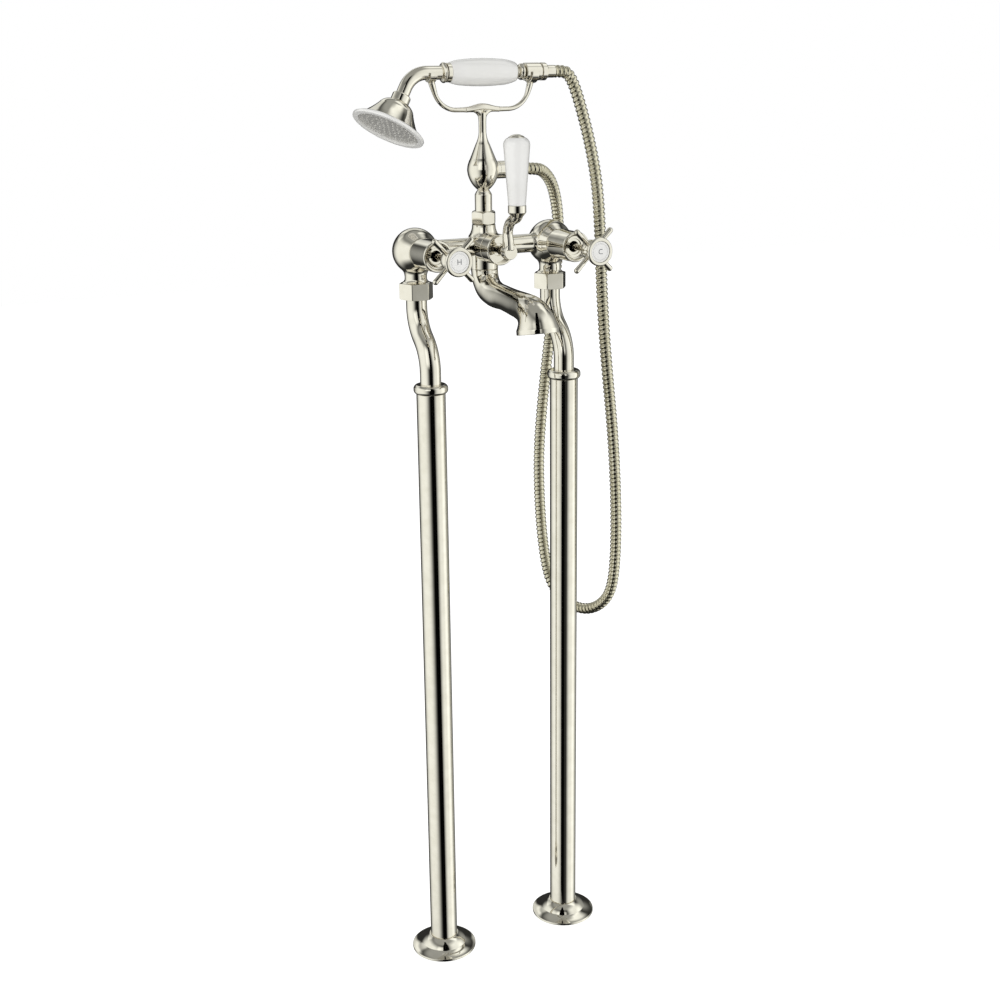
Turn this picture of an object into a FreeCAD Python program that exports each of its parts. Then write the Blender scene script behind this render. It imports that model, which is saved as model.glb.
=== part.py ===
import FreeCAD, Part
import math
import operator
import os
import Sketcher
from FreeCAD import Placement, Rotation, Vector

# Floor standing bath filler, in millimetres. +Z is up, -Y is the front, +X the object's right.
# The origin lies on the floor, halfway between the two supply legs.

sizes = {
    # layout
    "pipe_centres": 180.0,
    "leg_height": 747.5,
    "bridge_rise": 163.6,
    "bend_offset": 35.7,
    "slack": 0.3,
    "slip": 0.15,
    "running": 0.05,
    # floor plate and flange
    "plate_radius": 32.0,
    "plate_thickness": 3.0,
    "spigot_height": 30.0,
    "screw_offset": 26.0,
    "screw_hole_radius": 2.75,
    "flange_radius": 41.4,
    "flange_rim": 3.0,
    "flange_height": 18.3,
    "flange_wall": 1.9,
    "shoulder_radius": 29.0,
    "shoulder_height": 8.2,
    "flange_neck": 6.8,
    # legs and the supply tails inside them
    "leg_radius": 17.35,
    "leg_wall": 1.5,
    "collar_radius": 20.5,
    "collar_height": 11.0,
    "collar_spigot": 12.0,
    "supply_radius": 9.8,
    "supply_bore": 7.0,
    "supply_overlap": 15.0,
    "inlet_radius": 7.55,
    "inlet_depth": 24.0,
    "socket_radius": 11.7,
    "socket_length": 26.0,
    # S shaped elbows
    "elbow_radius": 12.5,
    "elbow_tail": 47.5,
    "elbow_straight": 24.5,
    "elbow_head": 13.4,
    "elbow_flange_radius": 15.0,
    "elbow_flange": 3.0,
    "washer_thickness": 2.2,
    "washer_bore": 10.6,
    # union nuts
    "union_drop": 48.5,
    "union_nut_radius": 20.8,
    "union_nut_height": 19.0,
    "union_nut_lip": 2.4,
    "union_nut_turn": 22.0,
    "nut_chamfer": 1.6,
    # body casting
    "crossbar_radius": 11.0,
    "water_way": 7.0,
    "globe_radius": 27.0,
    "globe_bar_fillet": 8.0,
    "globe_neck_fillet": 10.0,
    "valve_boss_length": 22.7,
    "valve_boss_radius": 17.6,
    "valve_boss_root": 21.5,
    "cartridge_radius": 12.2,
    "cartridge_seat": 8.0,
    "neck_radius": 13.3,
    "neck_flare": 18.0,
    "neck_flare_height": 4.2,
    "thread_radius": 15.2,
    "thread_length": 11.7,
    "neck_bore": 10.0,
    "hub_radius": 16.5,
    "hub_drop": 26.1,
    "hub_shoulder": 9.0,
    "hub_flare_radius": 18.5,
    "hub_flare_height": 12.5,
    "hub_flare_edge": 1.0,
    "hub_top_radius": 14.0,
    "hub_top": 25.9,
    "changeover_boss_radius": 18.0,
    "changeover_boss_length": 26.2,
    # valve shrouds
    "shroud_radius": 18.0,
    "shroud_length": 42.7,
    "shroud_edge": 1.5,
    "shroud_cavity": 13.6,
    "dish_radius": 15.4,
    "dish_step_radius": 12.6,
    "dish_inner_radius": 9.4,
    "dish_depth": 3.2,
    "dish_step": 1.6,
    "shroud_face": 10.0,
    "shroud_hole": 6.5,
    # cartridges and spindles
    "cartridge_length": 56.0,
    "cartridge_nose": 8.0,
    "cartridge_nose_radius": 9.0,
    "spindle_radius": 3.8,
    "spindle_bottom": 6.0,
    "handle_gap": 27.0,
    "handle_screw_radius": 1.9,
    "handle_screw_length": 9.0,
    "screw_head_radius": 4.4,
    "screw_head_height": 2.6,
    # cross handles
    "handle_length": 22.0,
    "handle_seat": 17.0,
    "handle_end_radius": 9.8,
    "handle_waist_radius": 9.6,
    "handle_crown_radius": 12.4,
    "handle_crown": 4.0,
    "handle_spigot_radius": 8.0,
    "handle_spigot": 3.4,
    "screw_well_radius": 5.2,
    "arm_height": 13.0,
    "arm_reach": 34.6,
    "arm_root_radius": 2.5,
    "arm_tip_radius": 3.4,
    "arm_seat": 1.0,
    "arm_angle": 45.0,
    "index_ring_radius": 16.2,
    "index_ring_height": 7.6,
    "index_ring_base": 4.2,
    "index_lip": 1.6,
    "index_radius": 13.0,
    "index_thickness": 3.6,
    "index_crown": 0.7,
    # changeover valve and its lever
    "changeover_shroud_length": 19.2,
    "changeover_recess_radius": 15.6,
    "changeover_recess": 6.5,
    "changeover_face": 2.5,
    "changeover_hole": 7.4,
    "changeover_nose": 6.0,
    "changeover_spindle_radius": 4.5,
    "lever_hub_radius": 6.4,
    "lever_hub_start": 47.7,
    "lever_boss_start": 59.5,
    "lever_boss_length": 11.4,
    "lever_boss_radius": 8.7,
    "lever_boss_edge": 1.0,
    "lever_arm_radius": 5.4,
    "lever_root_rise": 2.0,
    "lever_root_radius": 7.0,
    "lever_waist_radius": 5.8,
    "lever_knee": 23.5,
    "lever_knee_back": 2.0,
    "lever_elbow_rise": 8.5,
    "lever_elbow_forward": 4.5,
    "lever_run_drop": 4.5,
    "lever_run_forward": 12.5,
    "lever_end_back": 3.0,
    "lever_end_drop": 0.5,
    "lever_end_radius": 6.6,
    "lever_foot_radius": 7.4,
    "lever_forward": 51.3,
    "ferrule_bottom": 41.7,
    "ferrule_radius": 10.5,
    "ferrule_height": 12.9,
    "ferrule_cone": 5.0,
    "grip_foot_radius": 10.0,
    "grip_head_radius": 15.2,
    "grip_length": 75.2,
    "grip_shoulder": 8.0,
    "grip_top_radius": 9.7,
    "tie_rod_radius": 2.5,
    "tie_rod_depth": 9.0,
    "finial_radius": 9.3,
    "finial_height": 3.6,
    # spout
    "spout_reach": 141.3,
    "spout_root_bend": 27.0,
    "spout_tip_bend": 26.3,
    "spout_fall_angle": 85.0,
    "spout_mouth_drop": 94.3,
    "spout_tip_drop": 86.3,
    "spout_root_radius": 16.3,
    "spout_upper_radius": 16.1,
    "spout_lower_radius": 16.0,
    "spout_shoulder_radius": 15.8,
    "spout_waist_radius": 14.6,
    "spout_run_radius": 15.5,
    "spout_throat_radius": 17.0,
    "spout_swell_radius": 19.6,
    "spout_flare_radius": 23.0,
    "spout_mouth_radius": 25.0,
    "spout_rim_radius": 26.0,
    "spout_rim_height": 5.5,
    "spout_rim_edge": 1.0,
    "straightener_ledge": 0.5,
    "spout_wall": 2.2,
    "spout_spigot_radius": 12.0,
    "spout_spigot": 8.0,
    "spout_web": 3.0,
    "spout_bore": 9.0,
    "straightener_recess": 2.0,
    "straightener_height": 5.0,
    "straightener_hole": 3.2,
    "straightener_ring": 9.5,
    # riser
    "riser_radius": 10.2,
    "riser_bore": 6.0,
    "riser_seat": 10.0,
    "riser_nut_radius": 15.65,
    "riser_nut_height": 16.0,
    "riser_shoulder": 60.9,
    "riser_top": 66.5,
    "riser_top_radius": 6.8,
    "riser_washer": 2.0,
    "bulb_spigot": 8.0,
    "bulb_spigot_radius": 4.6,
    "bulb_radius": 18.8,
    "bulb_belly": 22.9,
    "bulb_upper": 36.0,
    "bulb_upper_radius": 15.2,
    "bulb_neck": 53.0,
    "bulb_neck_radius": 8.2,
    "stem_radius": 4.5,
    "stem_start": 66.5,
    "bulb_bore": 3.2,
    # hose outlet and the fittings on both ends of the hose
    "outlet_boss_reach": 19.5,
    "outlet_radius": 10.2,
    "outlet_height": 22.4,
    "outlet_thread": 6.2,
    "outlet_depth": 9.0,
    "outlet_reach": 29.2,
    "hose_nut_radius": 10.25,
    "hose_nut_length": 11.5,
    "hose_nut_cavity": 6.6,
    "hose_nut_seat": 7.5,
    "ferrule_outer": 7.25,
    "lower_ferrule_length": 7.3,
    "upper_nut_length": 7.5,
    "upper_ferrule_length": 10.5,
    "hose_radius": 7.0,
    "hose_groove": 0.8,
    "hose_bore": 4.2,
    "hose_ribs": 60.0,
    "hose_lead": 18.0,
    "hose_outlet_lead": 24.0,
    # cradle fork
    "fork_height": 92.1,
    "fork_stand": 8.1,
    "fork_radius": 3.1,
    "fork_corner_start": 33.8,
    "fork_bend": 28.1,
    "fork_lean": 72.6,
    "fork_hub_radius": 6.2,
    "fork_hub_height": 7.0,
    "saddle_rise": 41.7,
    "saddle_place": 65.0,
    "saddle_length": 9.0,
    "saddle_wall": 2.4,
    # handset
    "handset_roll": 9.4,
    "neck_tube_radius": 7.75,
    "neck_tube_bore": 4.6,
    "neck_bend": 32.0,
    "rose_reach": 124.2,
    "rose_drop": 62.3,
    "rose_tilt": 29.63,
    "rose_radius": 43.05,
    "rose_foot_radius": 35.4,
    "rose_foot": 5.6,
    "rose_shoulder_radius": 21.2,
    "rose_shoulder": 25.2,
    "rose_crown_radius": 9.4,
    "rose_crown": 34.4,
    "rose_wall": 1.8,
    "rose_nut_radius": 10.8,
    "rose_nut_height": 9.6,
    "rose_inner_radius": 36.4,
    "rose_recess": 2.2,
    "rose_plate_thickness": 2.0,
    "spray_hole_radius": 1.3,
    "spray_ring": 28.0,
    "stem_tube_radius": 3.6,
    "stem_tube_bore": 2.6,
    "end_ring_radius": 11.7,
    "end_ring_length": 5.6,
    "end_band_radius": 10.8,
    "end_band_length": 4.9,
    "porcelain_left": 41.2,
    "porcelain_right": 41.9,
    "porcelain_left_radius": 11.4,
    "porcelain_middle_radius": 15.7,
    "porcelain_right_radius": 11.2,
    "cap_radius": 11.2,
    "cap_length": 3.4,
    "bead_neck_radius": 4.9,
    "bead_neck_length": 2.2,
    "bead_radius": 9.5,
    "bead_length": 7.9,
    "barrel_radius": 10.2,
    "barrel_length": 19.7,
    "barrel_groove_radius": 8.8,
    "barrel_groove": 1.7,
    "barrel_spigot": 5.5,
    "barrel_spigot_radius": 6.2,
}

ORIGIN_PLANES = {"level": "XY_Plane", "front": "XZ_Plane", "side": "YZ_Plane"}
X_AXIS = "1; 0; 0"
Y_AXIS = "0; 1; 0"
Z_AXIS = "0; 0; 1"
UPRIGHT = []
FORWARD = [(X_AXIS, 90)]
RIGHTWARD = [(Y_AXIS, 90)]
SIDES = {"left": -1, "right": 1}
VALVES = {"hot": -1, "cold": 1}
OPERATIONS = {"+": operator.add, "-": operator.sub, "*": operator.mul, "/": operator.truediv}


class Size:
    """A number together with the sheet formula that gives it."""

    def __init__(self, value, formula):
        self.value = value
        self.formula = formula

    def __add__(self, other):
        return combined(self, "+", other)

    def __radd__(self, other):
        return combined(other, "+", self)

    def __sub__(self, other):
        return combined(self, "-", other)

    def __rsub__(self, other):
        return combined(other, "-", self)

    def __mul__(self, other):
        return combined(self, "*", other)

    def __rmul__(self, other):
        return combined(other, "*", self)

    def __truediv__(self, other):
        return combined(self, "/", other)

    def __neg__(self):
        return combined(0, "-", self)


class Curve:
    """An arc to the next corner; the turn in degrees is positive to the left."""

    def __init__(self, turn):
        self.turn = turn


def as_size(thing):
    if isinstance(thing, Size):
        return thing
    return Size(float(thing), f"({float(thing)})")


def combined(left, sign, right):
    left = as_size(left)
    right = as_size(right)
    value = OPERATIONS[sign](left.value, right.value)
    return Size(value, f"({left.formula} {sign} {right.formula})")


def root(size):
    return Size(math.sqrt(size.value), f"sqrt({size.formula})")


def sine(angle):
    angle = as_size(angle)
    return Size(math.sin(math.radians(angle.value)), f"sin({angle.formula})")


def cosine(angle):
    angle = as_size(angle)
    return Size(math.cos(math.radians(angle.value)), f"cos({angle.formula})")


def swell(turn):
    """Rounded outwards, on an outline that is listed anticlockwise."""
    return Curve(as_size(turn))


def dome(radius, rise):
    """Rounded outwards so that the arc meets the axis square."""
    half = Size(
        math.degrees(math.atan2(as_size(rise).value, as_size(radius).value)),
        f"(atan({as_size(rise).formula} / {as_size(radius).formula}) / 1 deg)",
    )
    return Curve(2 * half)


def hollow(turn):
    """Rounded inwards, on an outline that is listed anticlockwise."""
    return Curve(-as_size(turn))


def fill_sheet():
    sheet = doc.addObject("Spreadsheet::Sheet", "Sizes")
    for row, (name, value) in enumerate(sizes.items(), start=1):
        sheet.set(f"A{row}", name)
        sheet.set(f"B{row}", str(value))
        sheet.setAlias(f"B{row}", name)
    doc.recompute()


class Sheet:
    """Every cell of the sheet as an attribute."""

    def __init__(self):
        for name, value in sizes.items():
            setattr(self, name, Size(value, f"Sizes.{name}"))
        self.bridge_height = self.leg_height + self.bridge_rise
        self.neck_start = self.porcelain_left + self.end_band_length + self.end_ring_length
        self.stem_top = self.fork_height - self.fork_stand


# ---- drawing helpers -------------------------------------------------------------------------


def place(piece, at, turns=()):
    x, y, z = [as_size(number).formula for number in at]
    spins = [f"rotation(vector({axis}); {as_size(angle).formula})" for axis, angle in turns]
    spin = " * ".join(spins) or f"rotation(vector({Z_AXIS}); 0)"
    piece.setExpression("Placement", f"placement(vector({x}; {y}; {z}); {spin})")


def origin_feature(body, role):
    return next(feature for feature in body.Origin.OriginFeatures if feature.Role == role)


def new_sketch(body, plane):
    sketch = body.newObject("Sketcher::SketchObject", "Sketch")
    sketch.AttachmentSupport = [(origin_feature(body, ORIGIN_PLANES[plane]), "")]
    sketch.MapMode = "FlatFace"
    return sketch


def fix(sketch, kind, place_in_sketch, size):
    """A dimension from the sketch origin, bound to the sheet."""
    size = as_size(size)
    number = sketch.addConstraint(Sketcher.Constraint(kind, *place_in_sketch, size.value))
    sketch.setExpression(f"Constraints[{number}]", size.formula)


def fix_point(sketch, edge, end, point):
    across, up = point
    if as_size(across).value == 0:
        sketch.addConstraint(Sketcher.Constraint("PointOnObject", edge, end, -2))
    else:
        fix(sketch, "DistanceX", (-1, 1, edge, end), across)
    if as_size(up).value == 0:
        sketch.addConstraint(Sketcher.Constraint("PointOnObject", edge, end, -1))
    else:
        fix(sketch, "DistanceY", (-1, 1, edge, end), up)


def arc_radius(start, end, turn):
    across = as_size(end[0]) - start[0]
    up = as_size(end[1]) - start[1]
    if turn.value < 0:
        turn = -turn
    return root(across * across + up * up) / (2 * sine(turn / 2))


def arc_edge(start, end, radius, turn):
    first = Vector(as_size(start[0]).value, as_size(start[1]).value, 0)
    last = Vector(as_size(end[0]).value, as_size(end[1]).value, 0)
    chord = last - first
    to_left = Vector(-chord.y, chord.x, 0).normalize()
    rise = math.sqrt(max(radius * radius - chord.Length ** 2 / 4, 0))
    centre = (first + last) / 2 + to_left * math.copysign(rise, turn)
    if turn < 0:
        first, last = last, first
    angles = [math.atan2(point.y - centre.y, point.x - centre.x) for point in (first, last)]
    if angles[1] < angles[0]:
        angles[1] += 2 * math.pi
    return Part.ArcOfCircle(Part.Circle(centre, Vector(0, 0, 1), radius), *angles)


def draw(sketch, outline, closed=True):
    """Lines and arcs through the corners of an outline, every corner fixed to the sheet."""
    corners = []
    curves = []
    for item in outline:
        if isinstance(item, Curve):
            curves[-1] = item
        else:
            corners.append(item)
            curves.append(None)
    count = len(corners) if closed else len(corners) - 1
    ends = []
    for number in range(count):
        start = corners[number]
        end = corners[(number + 1) % len(corners)]
        curve = curves[number]
        if curve is None:
            points = [Vector(as_size(p[0]).value, as_size(p[1]).value, 0) for p in (start, end)]
            edge = sketch.addGeometry(Part.LineSegment(*points), False)
            ends.append((edge, 1, 2))
            continue
        radius = arc_radius(start, end, curve.turn)
        edge = sketch.addGeometry(arc_edge(start, end, radius.value, curve.turn.value), False)
        ends.append((edge, 1, 2) if curve.turn.value > 0 else (edge, 2, 1))
    for number in range(count if closed else count - 1):
        edge, _, last = ends[number]
        following, first, _ = ends[(number + 1) % count]
        sketch.addConstraint(Sketcher.Constraint("Coincident", edge, last, following, first))
    for number in range(count):
        edge, first, _ = ends[number]
        fix_point(sketch, edge, first, corners[number])
        if curves[number] is not None:
            radius = arc_radius(corners[number], corners[(number + 1) % len(corners)], curves[number].turn)
            fix(sketch, "Radius", (edge,), radius)
    if not closed:
        edge, _, last = ends[-1]
        fix_point(sketch, edge, last, corners[-1])


def draw_circles(sketch, circles):
    """Circles given as (across, up, radius)."""
    for across, up, radius in circles:
        centre = Vector(as_size(across).value, as_size(up).value, 0)
        circle = Part.Circle(centre, Vector(0, 0, 1), as_size(radius).value)
        edge = sketch.addGeometry(circle, False)
        fix_point(sketch, edge, 3, (across, up))
        fix(sketch, "Radius", (edge,), radius)


def new_body(label):
    return doc.addObject("PartDesign::Body", label)


def revolve(body, outline, axis="V_Axis", turn=360):
    sketch = new_sketch(body, "front")
    draw(sketch, outline)
    revolution = body.newObject("PartDesign::Revolution", "Revolution")
    revolution.Profile = sketch
    revolution.ReferenceAxis = (sketch, [axis])
    revolution.Midplane = turn != 360
    revolution.Angle = turn
    return revolution


def turned(label, outline, at=(0, 0, 0), turns=UPRIGHT, turn=360):
    """A turned piece: (radius, distance along its own axis), listed anticlockwise."""
    body = new_body(label)
    revolve(body, outline, turn=turn)
    place(body, at, turns)
    return body


def tube(label, outer, inner, start, end, at=(0, 0, 0), turns=UPRIGHT):
    return turned(label, [(inner, start), (outer, start), (outer, end), (inner, end)], at, turns)


def rod(label, radius, start, end, at=(0, 0, 0), turns=UPRIGHT):
    return turned(label, [(0, start), (radius, start), (radius, end), (0, end)], at, turns)


def piped(label, planes, path, circles, at, turns=UPRIGHT):
    """A round section carried along a path of lines and arcs, from the body's own origin."""
    body = new_body(label)
    section = new_sketch(body, planes[0])
    draw_circles(section, circles)
    spine = new_sketch(body, planes[1])
    draw(spine, path, closed=False)
    pipe = body.newObject("PartDesign::AdditivePipe", "Pipe")
    pipe.Profile = section
    pipe.Spine = spine
    place(body, at, turns)
    return body


def lofted(label, rings):
    """A round form through circles (y, z, lean, radius) in the middle plane; lean 0 is level."""
    circles = []
    for y, z, lean, radius in rings:
        circle = doc.addObject("Part::Circle", f"{label}_ring")
        circle.setExpression("Radius", as_size(radius).formula)
        place(circle, (0, y, z), [(X_AXIS, -as_size(lean))])
        circles.append(circle)
    loft = doc.addObject("Part::Loft", label)
    loft.Sections = circles
    loft.Solid = True
    loft.Ruled = False
    return loft


def joined(label, pieces):
    fusion = doc.addObject("Part::MultiFuse", label)
    fusion.Shapes = pieces
    fusion.Refine = True
    return fusion


def cut(label, base, tool):
    difference = doc.addObject("Part::Cut", label)
    difference.Base = base
    difference.Tool = tool
    difference.Refine = True
    return difference


def hexagonal(label, blank, radius, height, at, turns):
    """The common volume of a turned blank and a hexagonal bar."""
    bar = doc.addObject("Part::Prism", f"{label}_bar")
    bar.Polygon = 6
    bar.setExpression("Circumradius", radius.formula)
    bar.setExpression("Height", height.formula)
    place(bar, at, turns)
    nut = doc.addObject("Part::MultiCommon", label)
    nut.Shapes = [blank, bar]
    return nut


def node(label, piece):
    """A sub-part that is written to its own file."""
    piece.Label = label
    nodes[label] = piece


# ---- floor, legs and elbows ------------------------------------------------------------------


def floor_plate(label, x):
    spigot_radius = s.leg_radius - s.leg_wall - s.slip
    bore = s.socket_radius + s.slack
    body = turned(label, [
        (bore, 0), (s.plate_radius, 0), (s.plate_radius, s.plate_thickness),
        (spigot_radius, s.plate_thickness), (spigot_radius, s.plate_thickness + s.spigot_height),
        (bore, s.plate_thickness + s.spigot_height),
    ])
    sketch = new_sketch(body, "level")
    draw_circles(sketch, [(0, side * s.screw_offset, s.screw_hole_radius) for side in (-1, 1)])
    holes = body.newObject("PartDesign::Pocket", "ScrewHoles")
    holes.Profile = sketch
    holes.Type = "Length"
    holes.Reversed = True
    holes.setExpression("Length", (s.plate_thickness * 2).formula)
    place(body, (x, 0, 0))
    node(label, body)


def floor_flange(label, x):
    bore = s.leg_radius + s.slip
    inner_rim = s.flange_radius - s.flange_wall
    body = turned(label, [
        (inner_rim, 0), (s.flange_radius, 0), (s.flange_radius, s.flange_rim),
        hollow(24), (s.shoulder_radius, s.shoulder_height),
        swell(36), (bore + 1, s.flange_height),
        (bore, s.flange_height), (bore, s.flange_height - s.flange_neck),
        (bore + s.flange_wall, s.flange_height - s.flange_neck),
        (s.shoulder_radius - s.flange_wall, s.shoulder_height - s.flange_wall),
        (inner_rim, s.flange_rim - s.flange_wall),
    ], (x, 0, 0))
    node(label, body)


def leg_tube(label, x):
    body = tube(label, s.leg_radius, s.leg_radius - s.leg_wall, s.plate_thickness, s.leg_height, (x, 0, 0))
    node(label, body)


def leg_collar(label, x):
    bore = s.elbow_radius + s.slip
    spigot_radius = s.leg_radius - s.leg_wall - s.slip
    top = s.leg_height + s.collar_height
    body = turned(label, [
        (bore, s.leg_height - s.collar_spigot), (spigot_radius, s.leg_height - s.collar_spigot),
        (spigot_radius, s.leg_height), (s.leg_radius, s.leg_height),
        swell(80), (s.collar_radius, s.leg_height + s.collar_height / 2),
        swell(80), (s.leg_radius, top), (bore, top),
    ], (x, 0, 0))
    node(label, body)


def supply_tail(label, x):
    top = s.leg_height - s.elbow_tail + s.supply_overlap
    body = turned(label, [
        (s.inlet_radius, 0), (s.socket_radius, 0), (s.socket_radius, s.socket_length),
        (s.supply_radius, s.socket_length), (s.supply_radius, top), (s.supply_bore, top),
        (s.supply_bore, s.inlet_depth), (s.inlet_radius, s.inlet_depth),
    ], (x, 0, 0))
    node(label, body)


def s_bend(label, x):
    """The elbow starts at its flange and comes forward to the leg in two equal arcs."""
    bore = s.supply_radius + s.slack
    top = s.bridge_height - s.union_drop - s.washer_thickness
    rise = top - s.elbow_head - s.leg_height - s.elbow_straight
    turn = 2 * Size(
        math.degrees(math.atan2(s.bend_offset.value, rise.value)),
        f"(atan({s.bend_offset.formula} / {rise.formula}) / 1 deg)",
    )
    low = top - s.leg_height + s.elbow_tail
    path = [
        (0, 0), (0, -s.elbow_head),
        Curve(-turn), (-s.bend_offset / 2, -s.elbow_head - rise / 2),
        Curve(turn), (-s.bend_offset, -s.elbow_head - rise),
        (-s.bend_offset, -low),
    ]
    at = (x, s.bend_offset, top)
    body = piped(f"{label}_pipe", ("level", "side"), path, [(0, 0, s.elbow_radius), (0, 0, bore)], at)
    flange = tube(f"{label}_flange", s.elbow_flange_radius, bore, -s.elbow_flange, 0, at)
    node(label, joined(label, [body, flange]))


def union_nut(label, x):
    bottom = s.bridge_height - s.union_drop - s.washer_thickness - s.elbow_flange - s.union_nut_lip
    bore = s.elbow_radius + s.slack
    cavity = s.thread_radius + s.slack
    radius = s.union_nut_radius
    height = s.union_nut_height
    at = (x, s.bend_offset, bottom)
    blank = turned(f"{label}_blank", [
        (bore, 0), (radius - s.nut_chamfer, 0), (radius, s.nut_chamfer / 2),
        (radius, height - s.nut_chamfer / 2), (radius - s.nut_chamfer, height),
        (cavity, height), (cavity, s.union_nut_lip), (bore, s.union_nut_lip),
    ], at)
    turns = [(Z_AXIS, s.union_nut_turn - 30)]
    node(label, hexagonal(label, blank, radius, height, at, turns))


def union_washers(label):
    top = s.bridge_height - s.union_drop
    washers = []
    for side in SIDES.values():
        at = (side * s.pipe_centres / 2, s.bend_offset, 0)
        washers.append(tube(label, s.elbow_flange_radius, s.washer_bore, top - s.washer_thickness, top, at))
    node(label, joined(label, washers))


# ---- body casting ----------------------------------------------------------------------------


def globe_fillet(rod_radius, fillet):
    """Where a fillet leaves a rod and meets the globe, from the globe's centre, and its turn."""
    reach = s.globe_radius + fillet
    leave = root(reach * reach - (rod_radius + fillet) * (rod_radius + fillet))
    meet_radius = (rod_radius + fillet) * s.globe_radius / reach
    meet = leave * s.globe_radius / reach
    turn = Size(
        math.degrees(math.atan2(meet.value, meet_radius.value)),
        f"(atan({meet.formula} / {meet_radius.formula}) / 1 deg)",
    )
    return leave, meet_radius, meet, turn


def bridge_body(label):
    """One casting: crossbar, globes with valve bosses, threaded necks, hub and changeover boss."""
    middle = (0, s.bend_offset, s.bridge_height)
    seat = s.cartridge_radius + s.slack
    thread_end = -s.union_drop
    collar = thread_end + s.thread_length
    bar_end = s.pipe_centres / 2
    leave, meet_radius, meet, turn = globe_fillet(s.crossbar_radius, s.globe_bar_fillet)
    solids = [turned("crossbar", [
        (0, -bar_end), (meet_radius, -bar_end), (meet_radius, meet - bar_end),
        hollow(turn), (s.crossbar_radius, leave - bar_end), (s.crossbar_radius, bar_end - leave),
        hollow(turn), (meet_radius, bar_end - meet), (meet_radius, bar_end), (0, bar_end),
    ], middle, RIGHTWARD)]
    hollows = [rod("water_way", s.water_way, -bar_end, bar_end, middle, RIGHTWARD)]
    boss_plane = root(s.globe_radius * s.globe_radius - s.valve_boss_root * s.valve_boss_root)
    front_turn = Size(
        math.degrees(math.acos(s.valve_boss_root.value / s.globe_radius.value)),
        f"(acos({s.valve_boss_root.formula} / {s.globe_radius.formula}) / 1 deg)",
    )
    leave, meet_radius, meet, turn = globe_fillet(s.neck_radius, s.globe_neck_fillet)
    for side in SIDES.values():
        at = (side * bar_end, s.bend_offset, s.bridge_height)
        solids.append(turned("globe", [
            (0, -s.globe_radius), swell(90), (s.globe_radius, 0),
            Curve(front_turn), (s.valve_boss_root, boss_plane),
            (s.valve_boss_radius, s.valve_boss_length), (0, s.valve_boss_length),
        ], at, FORWARD))
        hollows.append(rod("valve_seat", seat, -s.cartridge_seat, s.valve_boss_length, at, FORWARD))
        solids.append(turned("neck", [
            (0, thread_end), (s.thread_radius, thread_end), (s.thread_radius, collar),
            (s.neck_flare, collar), hollow(60), (s.neck_radius, collar + s.neck_flare_height),
            (s.neck_radius, -leave), hollow(turn), (meet_radius, -meet), (0, -meet),
        ], at))
        hollows.append(rod("neck_bore", s.neck_bore, thread_end, 0, at))
    solids.append(turned("hub", [
        (0, -s.hub_drop), (s.hub_radius, -s.hub_drop), (s.hub_radius, s.hub_shoulder),
        (s.hub_flare_radius, s.hub_flare_height - s.hub_flare_edge),
        (s.hub_flare_radius, s.hub_flare_height),
        hollow(40), (s.hub_top_radius, s.hub_top), (0, s.hub_top),
    ], middle))
    solids.append(rod("changeover_boss", s.changeover_boss_radius, 0, s.changeover_boss_length, middle, FORWARD))
    hollows.append(rod("changeover_seat", seat, -s.cartridge_seat, s.changeover_boss_length, middle, FORWARD))
    hollows.append(turned("hub_bore", [
        (0, -s.hub_drop), (s.spout_spigot_radius + s.slip, -s.hub_drop),
        (s.spout_spigot_radius + s.slip, -s.hub_drop + s.spout_spigot),
        (s.water_way, -s.hub_drop + s.spout_spigot),
        (s.water_way, s.hub_top - s.riser_seat - s.riser_washer),
        (s.riser_radius + s.slip, s.hub_top - s.riser_seat - s.riser_washer),
        (s.riser_radius + s.slip, s.hub_top), (0, s.hub_top),
    ], middle))
    node(label, cut(label, joined("casting", solids), joined("water_ways", hollows)))


# ---- valves ----------------------------------------------------------------------------------


def valve_shroud(label, at):
    back = s.valve_boss_length + s.slack
    front = back + s.shroud_length
    face = front - s.shroud_face
    dish = front - s.dish_depth
    body = turned(label, [
        (s.shroud_cavity, back), (s.shroud_radius - s.shroud_edge, back),
        swell(90), (s.shroud_radius, back + s.shroud_edge),
        (s.shroud_radius, front - s.shroud_edge),
        swell(90), (s.shroud_radius - s.shroud_edge, front), (s.dish_radius, front),
        hollow(50), (s.dish_step_radius, dish), (s.dish_step_radius, dish - s.dish_step),
        (s.dish_inner_radius, dish - s.dish_step), (s.dish_inner_radius, dish - 2 * s.dish_step),
        (s.shroud_hole, dish - 2 * s.dish_step), (s.shroud_hole, face), (s.shroud_cavity, face),
    ], at, FORWARD)
    node(label, body)


def valve_cartridge(label, at):
    start = s.slack - s.cartridge_seat
    shoulder = start + s.cartridge_length - s.cartridge_nose
    front = start + s.cartridge_length
    bore = s.spindle_radius + s.running
    body = turned(label, [
        (0, start), (s.cartridge_radius, start), (s.cartridge_radius, shoulder),
        (s.cartridge_nose_radius, shoulder), (s.cartridge_nose_radius, front),
        (bore, front), (bore, s.spindle_bottom), (0, s.spindle_bottom),
    ], at, FORWARD)
    node(label, body)


def handle_start():
    """Distance from the globe's centre to the back of the handle."""
    return s.valve_boss_length + s.slack + s.shroud_length + s.handle_gap


def valve_spindle(label, at):
    bottom = s.spindle_bottom + s.slack
    top = handle_start() + s.handle_seat
    hole = s.handle_screw_radius + s.running
    depth = top - s.handle_screw_length - s.slack
    body = turned(label, [
        (0, bottom), (s.spindle_radius, bottom), (s.spindle_radius, top),
        (hole, top), (hole, depth), (0, depth),
    ], at, FORWARD)
    node(label, body)


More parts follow.
